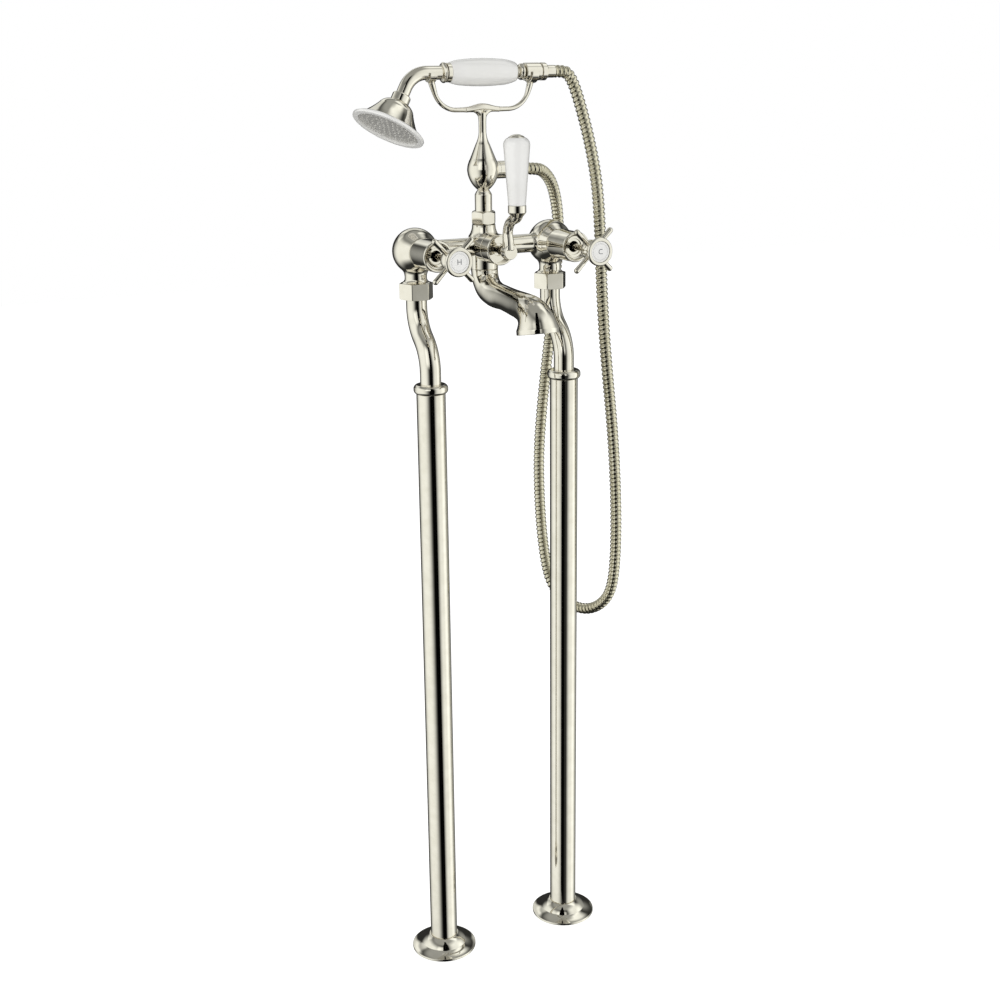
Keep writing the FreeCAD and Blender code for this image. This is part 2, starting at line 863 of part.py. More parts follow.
def handle_screw(label, at):
    seat = handle_start() + s.handle_seat
    body = turned(label, [
        (0, seat - s.handle_screw_length), (s.handle_screw_radius, seat - s.handle_screw_length),
        (s.handle_screw_radius, seat), (s.screw_head_radius, seat),
        (s.screw_head_radius, seat + s.screw_head_height), (0, seat + s.screw_head_height),
    ], at, FORWARD)
    node(label, body)


def cross_handle(label, x):
    """Turned hub and four tapered arms; the body's own origin lies in the plane of the arms."""
    back = -s.arm_height
    front = back + s.handle_length
    bore = s.spindle_radius + s.running
    seat = back + s.handle_seat
    body = new_body(label)
    revolve(body, [
        (bore, back), (s.handle_end_radius, back),
        swell(70), (s.handle_waist_radius, front - 2 * s.handle_crown),
        hollow(60), (s.handle_crown_radius, front - s.handle_crown),
        swell(90), (s.handle_waist_radius, front), (s.handle_spigot_radius, front),
        (s.handle_spigot_radius, front + s.handle_spigot),
        (s.screw_well_radius, front + s.handle_spigot), (s.screw_well_radius, seat), (bore, seat),
    ])
    root_end = s.screw_well_radius + s.arm_seat
    arm = revolve(body, [
        (root_end, 0), (s.arm_reach, 0),
        swell(90), (s.arm_reach - s.arm_tip_radius, s.arm_tip_radius),
        (root_end, s.arm_root_radius),
    ], axis="H_Axis")
    pattern = body.newObject("PartDesign::PolarPattern", "Arms")
    pattern.Originals = [arm]
    pattern.Axis = (origin_feature(body, "Z_Axis"), [""])
    pattern.Angle = 360
    pattern.Occurrences = 4
    body.Tip = pattern
    y = s.bend_offset - handle_start() - s.arm_height
    place(body, (x, y, s.bridge_height), FORWARD + [(Z_AXIS, s.arm_angle)])
    node(label, body)


def index_ring(label, at):
    base = handle_start() + s.handle_length
    bore = s.handle_spigot_radius + s.slip
    well = s.index_radius + s.slip
    body = turned(label, [
        (bore, base), (s.handle_crown_radius, base),
        hollow(50), (s.index_ring_radius, base + s.index_ring_base),
        swell(120), (well + s.index_lip, base + s.index_ring_height),
        (well, base + s.index_ring_height), (well, base + s.index_ring_base),
        (bore, base + s.index_ring_base),
    ], at, FORWARD)
    node(label, body)


def index_disc(label, at):
    back = handle_start() + s.handle_length + s.index_ring_base
    edge = back + s.index_thickness
    body = turned(label, [
        (0, back), (s.index_radius, back), (s.index_radius, edge),
        dome(s.index_radius, s.index_crown), (0, edge + s.index_crown),
    ], at, FORWARD)
    node(label, body)


# ---- changeover valve and lever --------------------------------------------------------------


def changeover_start():
    return s.changeover_boss_length + s.slack


def diverter_shroud(label, at):
    back = changeover_start()
    front = back + s.changeover_shroud_length
    face = front - s.changeover_recess
    inner = face - s.changeover_face
    body = turned(label, [
        (s.shroud_cavity, back), (s.shroud_radius - s.shroud_edge, back),
        swell(90), (s.shroud_radius, back + s.shroud_edge),
        (s.shroud_radius, front - s.shroud_edge),
        swell(90), (s.shroud_radius - s.shroud_edge, front), (s.changeover_recess_radius, front),
        (s.changeover_recess_radius, face), (s.changeover_hole, face),
        (s.changeover_hole, inner), (s.shroud_cavity, inner),
    ], at, FORWARD)
    node(label, body)


def diverter_cartridge(label, at):
    start = s.slack - s.cartridge_seat
    front = changeover_start() + s.changeover_shroud_length - s.changeover_recess - s.changeover_face
    bore = s.changeover_spindle_radius + s.running
    body = turned(label, [
        (0, start), (s.cartridge_radius, start), (s.cartridge_radius, front - s.slack),
        (bore, front - s.slack), (bore, s.spindle_bottom), (0, s.spindle_bottom),
    ], at, FORWARD)
    node(label, body)


def diverter_spindle(label, at):
    front = s.lever_boss_start + s.lever_boss_length / 2
    body = rod(label, s.changeover_spindle_radius, s.spindle_bottom + s.slack, front, at, FORWARD)
    node(label, body)


def lever_arm(label):
    """Boss on the spindle, cranked arm that swings back and then forward, ferrule for the grip."""
    at = (0, s.bend_offset, s.bridge_height)
    boss_front = s.lever_boss_start + s.lever_boss_length
    boss = turned("lever_boss", [
        (0, s.lever_hub_start), (s.lever_hub_radius, s.lever_hub_start),
        (s.lever_hub_radius, s.lever_boss_start),
        (s.lever_boss_radius - s.lever_boss_edge, s.lever_boss_start),
        swell(90), (s.lever_boss_radius, s.lever_boss_start + s.lever_boss_edge),
        (s.lever_boss_radius, boss_front - s.lever_boss_edge),
        swell(90), (s.lever_boss_radius - s.lever_boss_edge, boss_front), (0, boss_front),
    ], at, FORWARD)
    spindle_hole = rod("spindle_hole", s.changeover_spindle_radius + s.running, s.lever_hub_start,
                       s.lever_boss_start + s.lever_boss_length / 2 + s.slack, at, FORWARD)
    start_y = s.bend_offset - s.lever_boss_start - s.lever_boss_length / 2
    knee_y = start_y + s.lever_knee_back
    knee_z = s.bridge_height + s.lever_knee
    ferrule_y = -s.lever_forward
    ferrule_z = s.bridge_height + s.ferrule_bottom
    radius = s.lever_arm_radius
    arm = lofted("lever_crank", [
        (start_y, s.bridge_height + s.lever_root_rise, 0, s.lever_root_radius),
        (start_y + s.lever_knee_back / 2, s.bridge_height + s.lever_knee / 2, 0, s.lever_waist_radius),
        (knee_y, knee_z, 8, radius),
        (knee_y - s.lever_elbow_forward, knee_z + s.lever_elbow_rise, 48, radius),
        (knee_y - s.lever_run_forward, ferrule_z - s.lever_run_drop, 62, radius),
        (ferrule_y + s.lever_end_back, ferrule_z - s.lever_end_drop, 38, s.lever_end_radius),
        (ferrule_y, ferrule_z + s.ferrule_cone, 0, s.lever_foot_radius),
    ])
    ferrule_top = ferrule_z + s.ferrule_height
    ferrule = turned("lever_ferrule", [
        (0, ferrule_z), (s.ferrule_radius - s.ferrule_cone, ferrule_z),
        (s.ferrule_radius, ferrule_z + s.ferrule_cone), (s.ferrule_radius, ferrule_top), (0, ferrule_top),
    ], (0, ferrule_y, 0))
    rod_hole = rod("tie_rod_hole", s.tie_rod_radius + s.running,
                   ferrule_top - s.tie_rod_depth - s.slack, ferrule_top, (0, ferrule_y, 0))
    holes = joined("lever_holes", [spindle_hole, rod_hole])
    node(label, cut(label, joined("lever_casting", [boss, arm, ferrule]), holes))


def lever_grip(label):
    foot = s.bridge_height + s.ferrule_bottom + s.ferrule_height
    top = foot + s.grip_length
    bore = s.tie_rod_radius + s.slip
    body = turned(label, [
        (bore, foot), (s.grip_foot_radius, foot),
        (s.grip_head_radius, top - s.grip_shoulder),
        swell(70), (s.grip_top_radius, top), (bore, top),
    ], (0, -s.lever_forward, 0))
    node(label, body)


def lever_tie_rod(label):
    foot = s.bridge_height + s.ferrule_bottom + s.ferrule_height
    top = foot + s.grip_length
    body = turned(label, [
        (0, foot - s.tie_rod_depth), (s.tie_rod_radius, foot - s.tie_rod_depth),
        (s.tie_rod_radius, top), (s.finial_radius, top),
        dome(s.finial_radius, s.finial_height), (0, top + s.finial_height),
    ], (0, -s.lever_forward, 0))
    node(label, body)


# ---- spout -----------------------------------------------------------------------------------


def spout_rings(inset, mouth_inset, end):
    """Circles along the spout from its root to that height in the rim."""
    root_y = s.bend_offset - s.spout_root_bend
    root_z = s.bridge_height - s.hub_drop
    tip_y = s.bend_offset - s.spout_reach + s.spout_tip_bend
    tip_z = s.bridge_height - s.spout_tip_drop
    fall = s.spout_fall_angle

    def near_root(angle, radius):
        y = root_y + s.spout_root_bend * cosine(angle)
        z = root_z - s.spout_root_bend * sine(angle)
        return (y, z, angle, radius - inset)

    def near_tip(angle, radius):
        y = tip_y - s.spout_tip_bend * cosine(angle)
        z = tip_z + s.spout_tip_bend * sine(angle)
        return (y, z, angle, radius - inset)

    first = near_root(fall, s.spout_shoulder_radius)
    last = near_tip(fall, s.spout_throat_radius)
    between = []
    for share, radius in ((0.5, s.spout_waist_radius), (0.8, s.spout_run_radius)):
        y = first[0] + (last[0] - first[0]) * share
        z = first[1] + (last[1] - first[1]) * share
        between.append((y, z, fall, radius - inset))
    return [
        near_root(0, s.spout_root_radius), near_root(fall / 3, s.spout_upper_radius),
        near_root(fall * 2 / 3, s.spout_lower_radius), first, *between, last,
        near_tip(fall * 2 / 3, s.spout_swell_radius), near_tip(fall / 3, s.spout_flare_radius),
        (tip_y - s.spout_tip_bend, tip_z, 0, s.spout_mouth_radius - mouth_inset),
        (tip_y - s.spout_tip_bend, end, 0, s.spout_mouth_radius - mouth_inset),
    ]


def spout(label):
    mouth = s.bridge_height - s.spout_mouth_drop
    tip = s.bridge_height - s.spout_tip_drop
    y = s.bend_offset - s.spout_reach
    at = (0, y, 0)
    root_top = s.bridge_height - s.hub_drop
    outer = lofted("spout_outside", spout_rings(0, 0, mouth + s.spout_rim_edge))
    ledge = s.spout_wall + s.straightener_ledge
    inner = lofted("spout_inside", spout_rings(s.spout_wall, ledge, mouth - s.slack))
    rim = turned("spout_rim", [
        (0, mouth), (s.spout_rim_radius - s.spout_rim_edge, mouth),
        swell(90), (s.spout_rim_radius, mouth + s.spout_rim_edge),
        (s.spout_rim_radius, mouth + s.spout_rim_height), (s.spout_mouth_radius, tip), (0, tip),
    ], at)
    seat_top = mouth + s.straightener_recess + s.straightener_height
    seat = rod("straightener_seat", s.spout_mouth_radius - s.spout_wall, mouth - 2 * s.slack, seat_top, at)
    at = (0, s.bend_offset, 0)
    web_radius = s.spout_root_radius - s.spout_wall / 2
    web = tube("spout_web", web_radius, s.spout_bore, root_top - s.spout_web, root_top, at)
    spigot = tube("spout_spigot", s.spout_spigot_radius, s.spout_bore, root_top,
                  root_top + s.spout_spigot, at)
    shell = cut("spout_shell", joined("spout_solid", [outer, rim]), joined("spout_hollow", [inner, seat]))
    node(label, joined(label, [shell, web, spigot]))


def spout_straightener(label):
    """Perforated disc that sits a little way up the mouth."""
    bottom = s.bridge_height - s.spout_mouth_drop + s.straightener_recess
    radius = s.spout_mouth_radius - s.spout_wall - s.slip
    body = rod(label, radius, 0, s.straightener_height)
    sketch = new_sketch(body, "level")
    draw_circles(sketch, [(s.straightener_ring, 0, s.straightener_hole)])
    hole = body.newObject("PartDesign::Pocket", "Hole")
    hole.Profile = sketch
    hole.Type = "Length"
    hole.Reversed = True
    hole.setExpression("Length", (s.straightener_height * 2).formula)
    pattern = body.newObject("PartDesign::PolarPattern", "Holes")
    pattern.Originals = [hole]
    pattern.Axis = (origin_feature(body, "Z_Axis"), [""])
    pattern.Angle = 360
    pattern.Occurrences = 6
    body.Tip = pattern
    place(body, (0, s.bend_offset - s.spout_reach, bottom))
    node(label, body)


# ---- riser, bulb, fork -----------------------------------------------------------------------


def riser(at):
    seat = s.hub_top - s.riser_seat
    washer = tube("riser_washer", s.riser_radius, s.water_way, seat - s.riser_washer, seat, at)
    node("riser_washer", washer)
    body = turned("riser_tube", [
        (s.riser_bore, seat), (s.riser_radius, seat), (s.riser_radius, s.riser_shoulder),
        swell(20), (s.riser_top_radius, s.riser_top),
        (s.bulb_spigot_radius + s.slip, s.riser_top),
        (s.bulb_spigot_radius + s.slip, s.riser_top - s.bulb_spigot),
        (s.riser_bore, s.riser_top - s.bulb_spigot - 1),
    ], at)
    node("riser_tube", body)


def riser_nut(label):
    bottom = s.bridge_height + s.hub_top
    at = (0, s.bend_offset, bottom)
    radius = s.riser_nut_radius
    height = s.riser_nut_height
    bore = s.riser_radius + s.slip
    blank = turned(f"{label}_blank", [
        (bore, 0), (radius - 2 * s.nut_chamfer, 0), swell(60), (radius, 2 * s.nut_chamfer),
        (radius, height - 2 * s.nut_chamfer), swell(60), (radius - 2 * s.nut_chamfer, height),
        (bore, height),
    ], at)
    node(label, hexagonal(label, blank, radius, height, at, UPRIGHT))


def cradle_bulb(label):
    """Teardrop on the riser, with the long stem above it and a boss for the hose outlet."""
    at = (0, s.bend_offset, s.bridge_height + s.riser_top)
    form = turned("bulb", [
        (0, -s.bulb_spigot + s.slack), (s.bulb_spigot_radius, -s.bulb_spigot + s.slack),
        (s.bulb_spigot_radius, 0), (s.riser_top_radius, 0),
        swell(48), (s.bulb_radius, s.bulb_belly), swell(28), (s.bulb_upper_radius, s.bulb_upper),
        (s.bulb_neck_radius, s.bulb_neck), hollow(26), (s.stem_radius, s.stem_start),
        (s.stem_radius, s.stem_top), (0, s.stem_top),
    ], at)
    outlet_at = (0, s.bend_offset, s.bridge_height + s.riser_top + s.outlet_height)
    boss = rod("outlet_boss", s.outlet_radius, 0, s.outlet_boss_reach, outlet_at, RIGHTWARD)
    thread = rod("outlet_hole", s.outlet_thread + s.slip, s.outlet_boss_reach - s.outlet_depth - s.slack,
                 s.outlet_boss_reach, outlet_at, RIGHTWARD)
    way_up = rod("way_up", s.bulb_bore, -s.bulb_spigot, s.outlet_height, at)
    way_out = rod("way_out", s.bulb_bore, 0, s.outlet_boss_reach, outlet_at, RIGHTWARD)
    node(label, cut(label, joined("bulb_solid", [form, boss]), joined("bulb_ways", [thread, way_up, way_out])))


def grip_height():
    return s.bridge_height + s.riser_top + s.fork_height + s.saddle_rise


def saddle(side, radius):
    """Half ring, open upwards, on the end of a fork arm."""
    inner = radius + s.slack
    outer = inner + s.saddle_wall
    middle = side * s.saddle_place
    return turned("saddle", [
        (inner, middle - s.saddle_length / 2), (outer, middle - s.saddle_length / 2),
        (outer, middle + s.saddle_length / 2), (inner, middle + s.saddle_length / 2),
    ], (0, s.bend_offset, grip_height()), RIGHTWARD, turn=180)


def fork_arm(side, radius):
    """Half of the fork, from the middle to a point inside the wall of its saddle."""
    lean = s.fork_lean
    turn_end_x = s.fork_corner_start + s.fork_bend * sine(lean)
    turn_end_z = s.fork_bend * (1 - cosine(lean))
    top_z = s.saddle_rise - radius - s.slack - s.saddle_wall * 0.7
    top_x = turn_end_x + (top_z - turn_end_z) * cosine(lean) / sine(lean)
    path = [
        (0, 0), (side * s.fork_corner_start, 0), Curve(side * lean),
        (side * turn_end_x, turn_end_z), (side * top_x, top_z),
    ]
    at = (0, s.bend_offset, s.bridge_height + s.riser_top + s.fork_height)
    return piped("fork_arm", ("side", "front"), path, [(0, 0, s.fork_radius)], at)


def cradle_fork(label):
    at = (0, s.bend_offset, s.bridge_height + s.riser_top)
    flare_top = s.fork_height - s.fork_radius / 2
    hub_top = s.fork_height + s.fork_hub_height
    hub = turned("fork_hub", [
        (0, s.stem_top), (s.stem_radius, s.stem_top),
        hollow(50), (s.fork_hub_radius, flare_top),
        dome(s.fork_hub_radius, hub_top - flare_top), (0, hub_top),
    ], at)
    pieces = [
        hub, fork_arm(-1, s.neck_tube_radius), fork_arm(1, s.barrel_radius),
        saddle(-1, s.neck_tube_radius), saddle(1, s.barrel_radius),
    ]
    node(label, joined(label, pieces))


# ---- hose and its fittings -------------------------------------------------------------------


def hose_outlet(label, at):
    start = s.outlet_boss_reach - s.outlet_depth
    body = turned(label, [
        (s.bulb_bore, start), (s.outlet_thread, start), (s.outlet_thread, s.outlet_boss_reach),
        (s.outlet_radius, s.outlet_boss_reach), (s.outlet_radius, s.outlet_reach),
        (s.outlet_thread, s.outlet_reach), (s.outlet_thread, s.outlet_reach + s.hose_nut_seat - s.slack),
        (s.bulb_bore, s.outlet_reach + s.hose_nut_seat - s.slack),
    ], at, RIGHTWARD)
    node(label, body)


def hose_nut_lower(label, at):
    end = s.outlet_reach + s.hose_nut_length
    body = turned(label, [
        (s.hose_nut_cavity, s.outlet_reach), (s.hose_nut_radius, s.outlet_reach),
        (s.hose_nut_radius, end - s.nut_chamfer), (s.hose_nut_radius - s.nut_chamfer, end),
        (s.hose_bore, end), (s.hose_bore, s.outlet_reach + s.hose_nut_seat),
        (s.hose_nut_cavity, s.outlet_reach + s.hose_nut_seat),
    ], at, RIGHTWARD)
    node(label, body)


def lower_hose_start():
    return s.outlet_reach + s.hose_nut_length + s.lower_ferrule_length


def hose_ferrule(label, start, end, at):
    node(label, tube(label, s.ferrule_outer, s.hose_bore, start, end, at, RIGHTWARD))


def barrel_start():
    return s.porcelain_right + s.cap_length + s.bead_neck_length + s.bead_length


def barrel_end():
    return barrel_start() + s.barrel_length + s.barrel_groove


def upper_hose_start():
    return barrel_end() + s.upper_nut_length + s.upper_ferrule_length


def hose_nut_upper(label, at):
    start = barrel_end()
    end = start + s.upper_nut_length
    body = turned(label, [
        (s.barrel_spigot_radius + s.slip, start), (s.hose_nut_radius, start),
        (s.hose_nut_radius, end - s.nut_chamfer), (s.hose_nut_radius - s.nut_chamfer, end),
        (s.hose_bore, end), (s.hose_bore, start + s.barrel_spigot),
        (s.barrel_spigot_radius + s.slip, start + s.barrel_spigot),
    ], at, RIGHTWARD)
    node(label, body)


# The hose leaves the handset to the right, hangs in front of the body, turns up at the bottom
# and comes back up behind the right globe to the side outlet of the bulb.
HOSE_ROUTE = [
    (120.6, 35.4, 1106.9), (127.2, 34.2, 1096), (131.3, 31.2, 1078), (134, 24.5, 1046), (136, 14, 1008),
    (136.5, 3, 970), (135, -7, 925), (133, -16, 870), (134, -21, 810), (139, -23, 750),
    (146, -23, 690), (152.5, -20.5, 630), (157.5, -17, 570), (160.5, -12.5, 512), (160.5, -5, 460.5),
    (154.5, 9, 435.5), (144.5, 31, 421), (133, 57, 421), (122.5, 80, 435.5), (116.5, 93, 461),
    (111, 98, 516), (107, 97.5, 576), (106, 96, 632), (109, 93, 688), (114, 90.5, 742),
    (119.5, 88, 795), (124.5, 86.5, 846), (127.5, 84.5, 890), (125.5, 78.5, 928), (117, 69, 958),
    (104, 57, 981), (88, 46.5, 994.5),
]
RIB_PROFILE = [(0.0, "crest"), (0.6, "crest"), (0.72, "groove"), (0.88, "groove")]


def hose_points():
    """Control points from the upper ferrule to the lower one; both ends leave along X."""
    first = Vector(upper_hose_start().value, s.bend_offset.value, grip_height().value)
    outlet_z = s.bridge_height + s.riser_top + s.outlet_height
    last = Vector(lower_hose_start().value, s.bend_offset.value, outlet_z.value)
    upper_lead = Vector(s.hose_lead.value, 0, 0)
    lower_lead = Vector(s.hose_outlet_lead.value, 0, 0)
    route = [Vector(*point) for point in HOSE_ROUTE]
    return [first, first + upper_lead, *route, last + lower_lead, last]


def hose_path(points):
    """Straight runs joined by tangent arcs, each as large as its two runs allow."""
    edges = []
    radii = []
    start = points[0]
    for before, corner, after in zip(points, points[1:], points[2:]):
        incoming = (corner - before).normalize()
        outgoing = (after - corner).normalize()
        turn = math.acos(max(-1.0, min(1.0, incoming.dot(outgoing))))
        reach = 0.45 * min((corner - before).Length, (after - corner).Length)
        arc_start = corner - incoming * reach
        arc_end = corner + outgoing * reach
        radius = reach / math.tan(turn / 2)
        towards = (outgoing - incoming).normalize()
        middle = corner + towards * (radius / math.cos(turn / 2) - radius)
        edges.append(Part.LineSegment(start, arc_start).toShape())
        edges.append(Part.Arc(arc_start, middle, arc_end).toShape())
        radii.append(radius)
        start = arc_end
    edges.append(Part.LineSegment(start, points[-1]).toShape())
    return edges, radii


def along(edges, distance):
    """Point and direction at a distance along the path."""
    for edge in edges:
        if distance <= edge.Length or edge is edges[-1]:
            parameter = edge.getParameterByLength(min(distance, edge.Length))
            return edge.valueAt(parameter), edge.tangentAt(parameter)
        distance -= edge.Length


def ring_across(centre, direction, across, radius):
    """A circle whose own X axis is the given one, laid square to the path."""
    circle = Part.makeCircle(radius)
    circle.Placement = Placement(centre, Rotation(across, Vector(0, 0, 0), direction, "ZXY"))
    return Part.Wire([circle])


def hose_rings(edges, length):
    """Four circles for each rib; their own X axis is carried along so that nothing twists."""
    radii = {"crest": s.hose_radius.value, "groove": s.hose_radius.value - s.hose_groove.value}
    count = round(s.hose_ribs.value)
    stations = [((rib + share) / count, kind) for rib in range(count) for share, kind in RIB_PROFILE]
    stations.append((1.0, "crest"))
    across = Vector(0, 1, 0)
    rings = []
    for share, kind in stations:
        point, direction = along(edges, share * length)
        across = (across - direction * across.dot(direction)).normalize()
        rings.append(ring_across(point, direction, across, radii[kind]))
    return rings


def hose(label):
    """Ribbed hose: a ruled loft with the bore cut out along the same path."""
    points = hose_points()
    edges, radii = hose_path(points)
    length = sum(edge.Length for edge in edges)
    print("hose radii", [round(radius) for radius in radii])
    ribbed = Part.makeLoft(hose_rings(edges, length), True, True)
    section = Part.Wire([Part.Edge(Part.Circle(points[0], points[1] - points[0], s.hose_bore.value))])
    bore = Part.Wire(edges).makePipeShell([section], True, True, 0)
    bore_area = math.pi * s.hose_bore.value ** 2
    crest_area = math.pi * s.hose_radius.value ** 2
    print(f"hose length {length:.0f}, bore {bore.Volume:.0f}, section times length {bore_area * length:.0f}")
    print(f"ribbed solid {ribbed.Volume:.0f}, plain tube {crest_area * length:.0f}")
    feature = doc.addObject("Part::Feature", label)
    feature.Shape = ribbed.cut(bore)
    node(label, feature)


# ---- handset ---------------------------------------------------------------------------------


def handset_grip(label, at):
    bore = s.stem_tube_radius + s.slip
    body = turned(label, [
        (bore, -s.porcelain_left), (s.porcelain_left_radius, -s.porcelain_left),
        swell(24), (s.porcelain_middle_radius, 0),
        swell(24), (s.porcelain_right_radius, s.porcelain_right), (bore, s.porcelain_right),
    ], at, RIGHTWARD)
    node(label, body)


def grip_collar(label, at):
    """Torus and band between the neck tube and the porcelain."""
    bore = s.stem_tube_radius + s.slip
    start = -s.neck_start
    ring_end = start + s.end_ring_length
    body = turned(label, [
        (bore, start), (s.neck_tube_radius, start),
        swell(70), (s.end_ring_radius, start + s.end_ring_length / 2),
        swell(70), (s.neck_tube_radius, ring_end), (s.end_band_radius, ring_end),
        (s.end_band_radius, -s.porcelain_left), (bore, -s.porcelain_left),
    ], at, RIGHTWARD)
    node(label, body)


def grip_bead(label, at):
    """Cap ring, thin neck and bead at the right end of the porcelain."""
    bore = s.stem_tube_radius + s.slip
    start = s.porcelain_right
    cap = start + s.cap_length
    neck = cap + s.bead_neck_length
    end = neck + s.bead_length
    body = turned(label, [
        (bore, start), (s.cap_radius, start), swell(60), (s.bead_neck_radius, cap),
        (s.bead_neck_radius, neck), swell(80), (s.bead_radius, neck + s.bead_length / 2),
        swell(80), (s.bead_neck_radius, end), (bore, end),
    ], at, RIGHTWARD)
    node(label, body)


def handset_stem(label, at):
    start = -s.neck_start
    node(label, tube(label, s.stem_tube_radius, s.stem_tube_bore, start, barrel_start(), at, RIGHTWARD))


def handset_barrel(label, at):
    start = barrel_start()
    shoulder = start + s.barrel_length
    end = barrel_end()
    tip = end + s.barrel_spigot - s.slack
    edge = s.nut_chamfer / 2
    body = turned(label, [
        (s.stem_tube_bore, start), (s.barrel_radius - edge, start), swell(90),
        (s.barrel_radius, start + edge), (s.barrel_radius, shoulder - edge), swell(90),
        (s.barrel_radius - edge, shoulder), (s.barrel_groove_radius, shoulder),
        (s.barrel_groove_radius, end), (s.barrel_spigot_radius, end), (s.barrel_spigot_radius, tip),
        (s.stem_tube_bore, tip),
    ], at, RIGHTWARD)
    node(label, body)


def rose_line():
    """Distance along the rose axis from the face to the grip axis."""
    return s.rose_drop / cosine(s.rose_tilt)


def handset_neck(label, at):
    """Bent tube from the collar down to the rose nut."""
    turn = 90 - s.rose_tilt
    corner = s.rose_reach - s.rose_drop * sine(s.rose_tilt) / cosine(s.rose_tilt) - s.neck_start
    reach = s.neck_bend * sine(turn / 2) / cosine(turn / 2)
    length = rose_line() - s.rose_crown - s.slack

    def beyond(distance):
        return (-corner - distance * sine(s.rose_tilt), -distance * cosine(s.rose_tilt))

    path = [(0, 0), (-corner + reach, 0), Curve(turn), beyond(reach), beyond(length)]
    circles = [(0, 0, s.neck_tube_radius), (0, 0, s.neck_tube_bore)]
    place_of_end = (-s.neck_start, s.bend_offset, grip_height())
    body = piped(label, ("side", "front"), path, circles, place_of_end, [(X_AXIS, -s.handset_roll)])
    node(label, body)


def rose_frame():
    """Centre of the face, and the turns that lay the rose axis along Z."""
    centre = (
        -s.rose_reach,
        s.bend_offset - s.rose_drop * sine(s.handset_roll),
        grip_height() - s.rose_drop * cosine(s.handset_roll),
    )
    return centre, [(X_AXIS, -s.handset_roll), (Y_AXIS, s.rose_tilt)]


def rose():
    centre, turns = rose_frame()
    wall = s.rose_wall
    nut_top = s.rose_crown + s.rose_nut_height
    nut = turned("rose_nut", [
        (s.neck_tube_radius + s.slip, s.rose_crown), (s.rose_nut_radius, s.rose_crown),
        (s.rose_nut_radius, nut_top - s.nut_chamfer),
        swell(40), (s.rose_nut_radius - s.nut_chamfer, nut_top),
        (s.neck_tube_radius + s.slip, nut_top),
    ], centre, turns)
    node("rose_nut", nut)
    bell = turned("rose_bell", [
        (s.rose_foot_radius - wall, s.rose_foot), (s.rose_foot_radius, s.rose_foot),
        hollow(14), (s.rose_shoulder_radius, s.rose_shoulder),
        swell(62), (s.rose_crown_radius, s.rose_crown), (s.neck_tube_bore, s.rose_crown),
        (s.neck_tube_bore, s.rose_crown - wall), (s.rose_crown_radius, s.rose_crown - wall),
        hollow(62), (s.rose_shoulder_radius - wall, s.rose_shoulder - wall / 2),
    ], centre, turns)
    node("rose_bell", bell)
    lip = s.rose_foot / 4
    ring = turned("rose_ring", [
        (s.rose_inner_radius, 0), (s.rose_radius - lip, 0), swell(90), (s.rose_radius, lip),
        (s.rose_radius, 2 * lip), swell(30), (s.rose_foot_radius + lip, s.rose_foot),
        (s.rose_foot_radius - 2 * wall, s.rose_foot),
        (s.rose_foot_radius - 2 * wall, s.rose_recess + s.rose_plate_thickness),
        (s.rose_inner_radius, s.rose_recess + s.rose_plate_thickness),
    ], centre, turns)
    node("rose_ring", ring)


def rose_plate(label):
    """Nozzle plate with two rings of holes."""
    centre, turns = rose_frame()
    body = rod(label, s.rose_inner_radius - s.slip, 0, s.rose_plate_thickness)
    for ring, count in ((s.spray_ring, 12), (s.spray_ring / 2, 6)):
        sketch = new_sketch(body, "level")
        draw_circles(sketch, [(ring, 0, s.spray_hole_radius)])
        hole = body.newObject("PartDesign::Pocket", "Hole")
        hole.Profile = sketch
        hole.Type = "Length"
        hole.Reversed = True
        hole.setExpression("Length", (s.rose_plate_thickness * 2).formula)
        pattern = body.newObject("PartDesign::PolarPattern", "Holes")
        pattern.Originals = [hole]
        pattern.Axis = (origin_feature(body, "Z_Axis"), [""])
        pattern.Angle = 360
        pattern.Occurrences = count
        body.Tip = pattern
    x, y, z = centre
    rise = s.rose_recess
    at = (
        x + rise * sine(s.rose_tilt),
        y + rise * cosine(s.rose_tilt) * sine(s.handset_roll),
        z + rise * cosine(s.rose_tilt) * cosine(s.handset_roll),
    )
    place(body, at, turns)
    node(label, body)


# ---- the whole object ------------------------------------------------------------------------


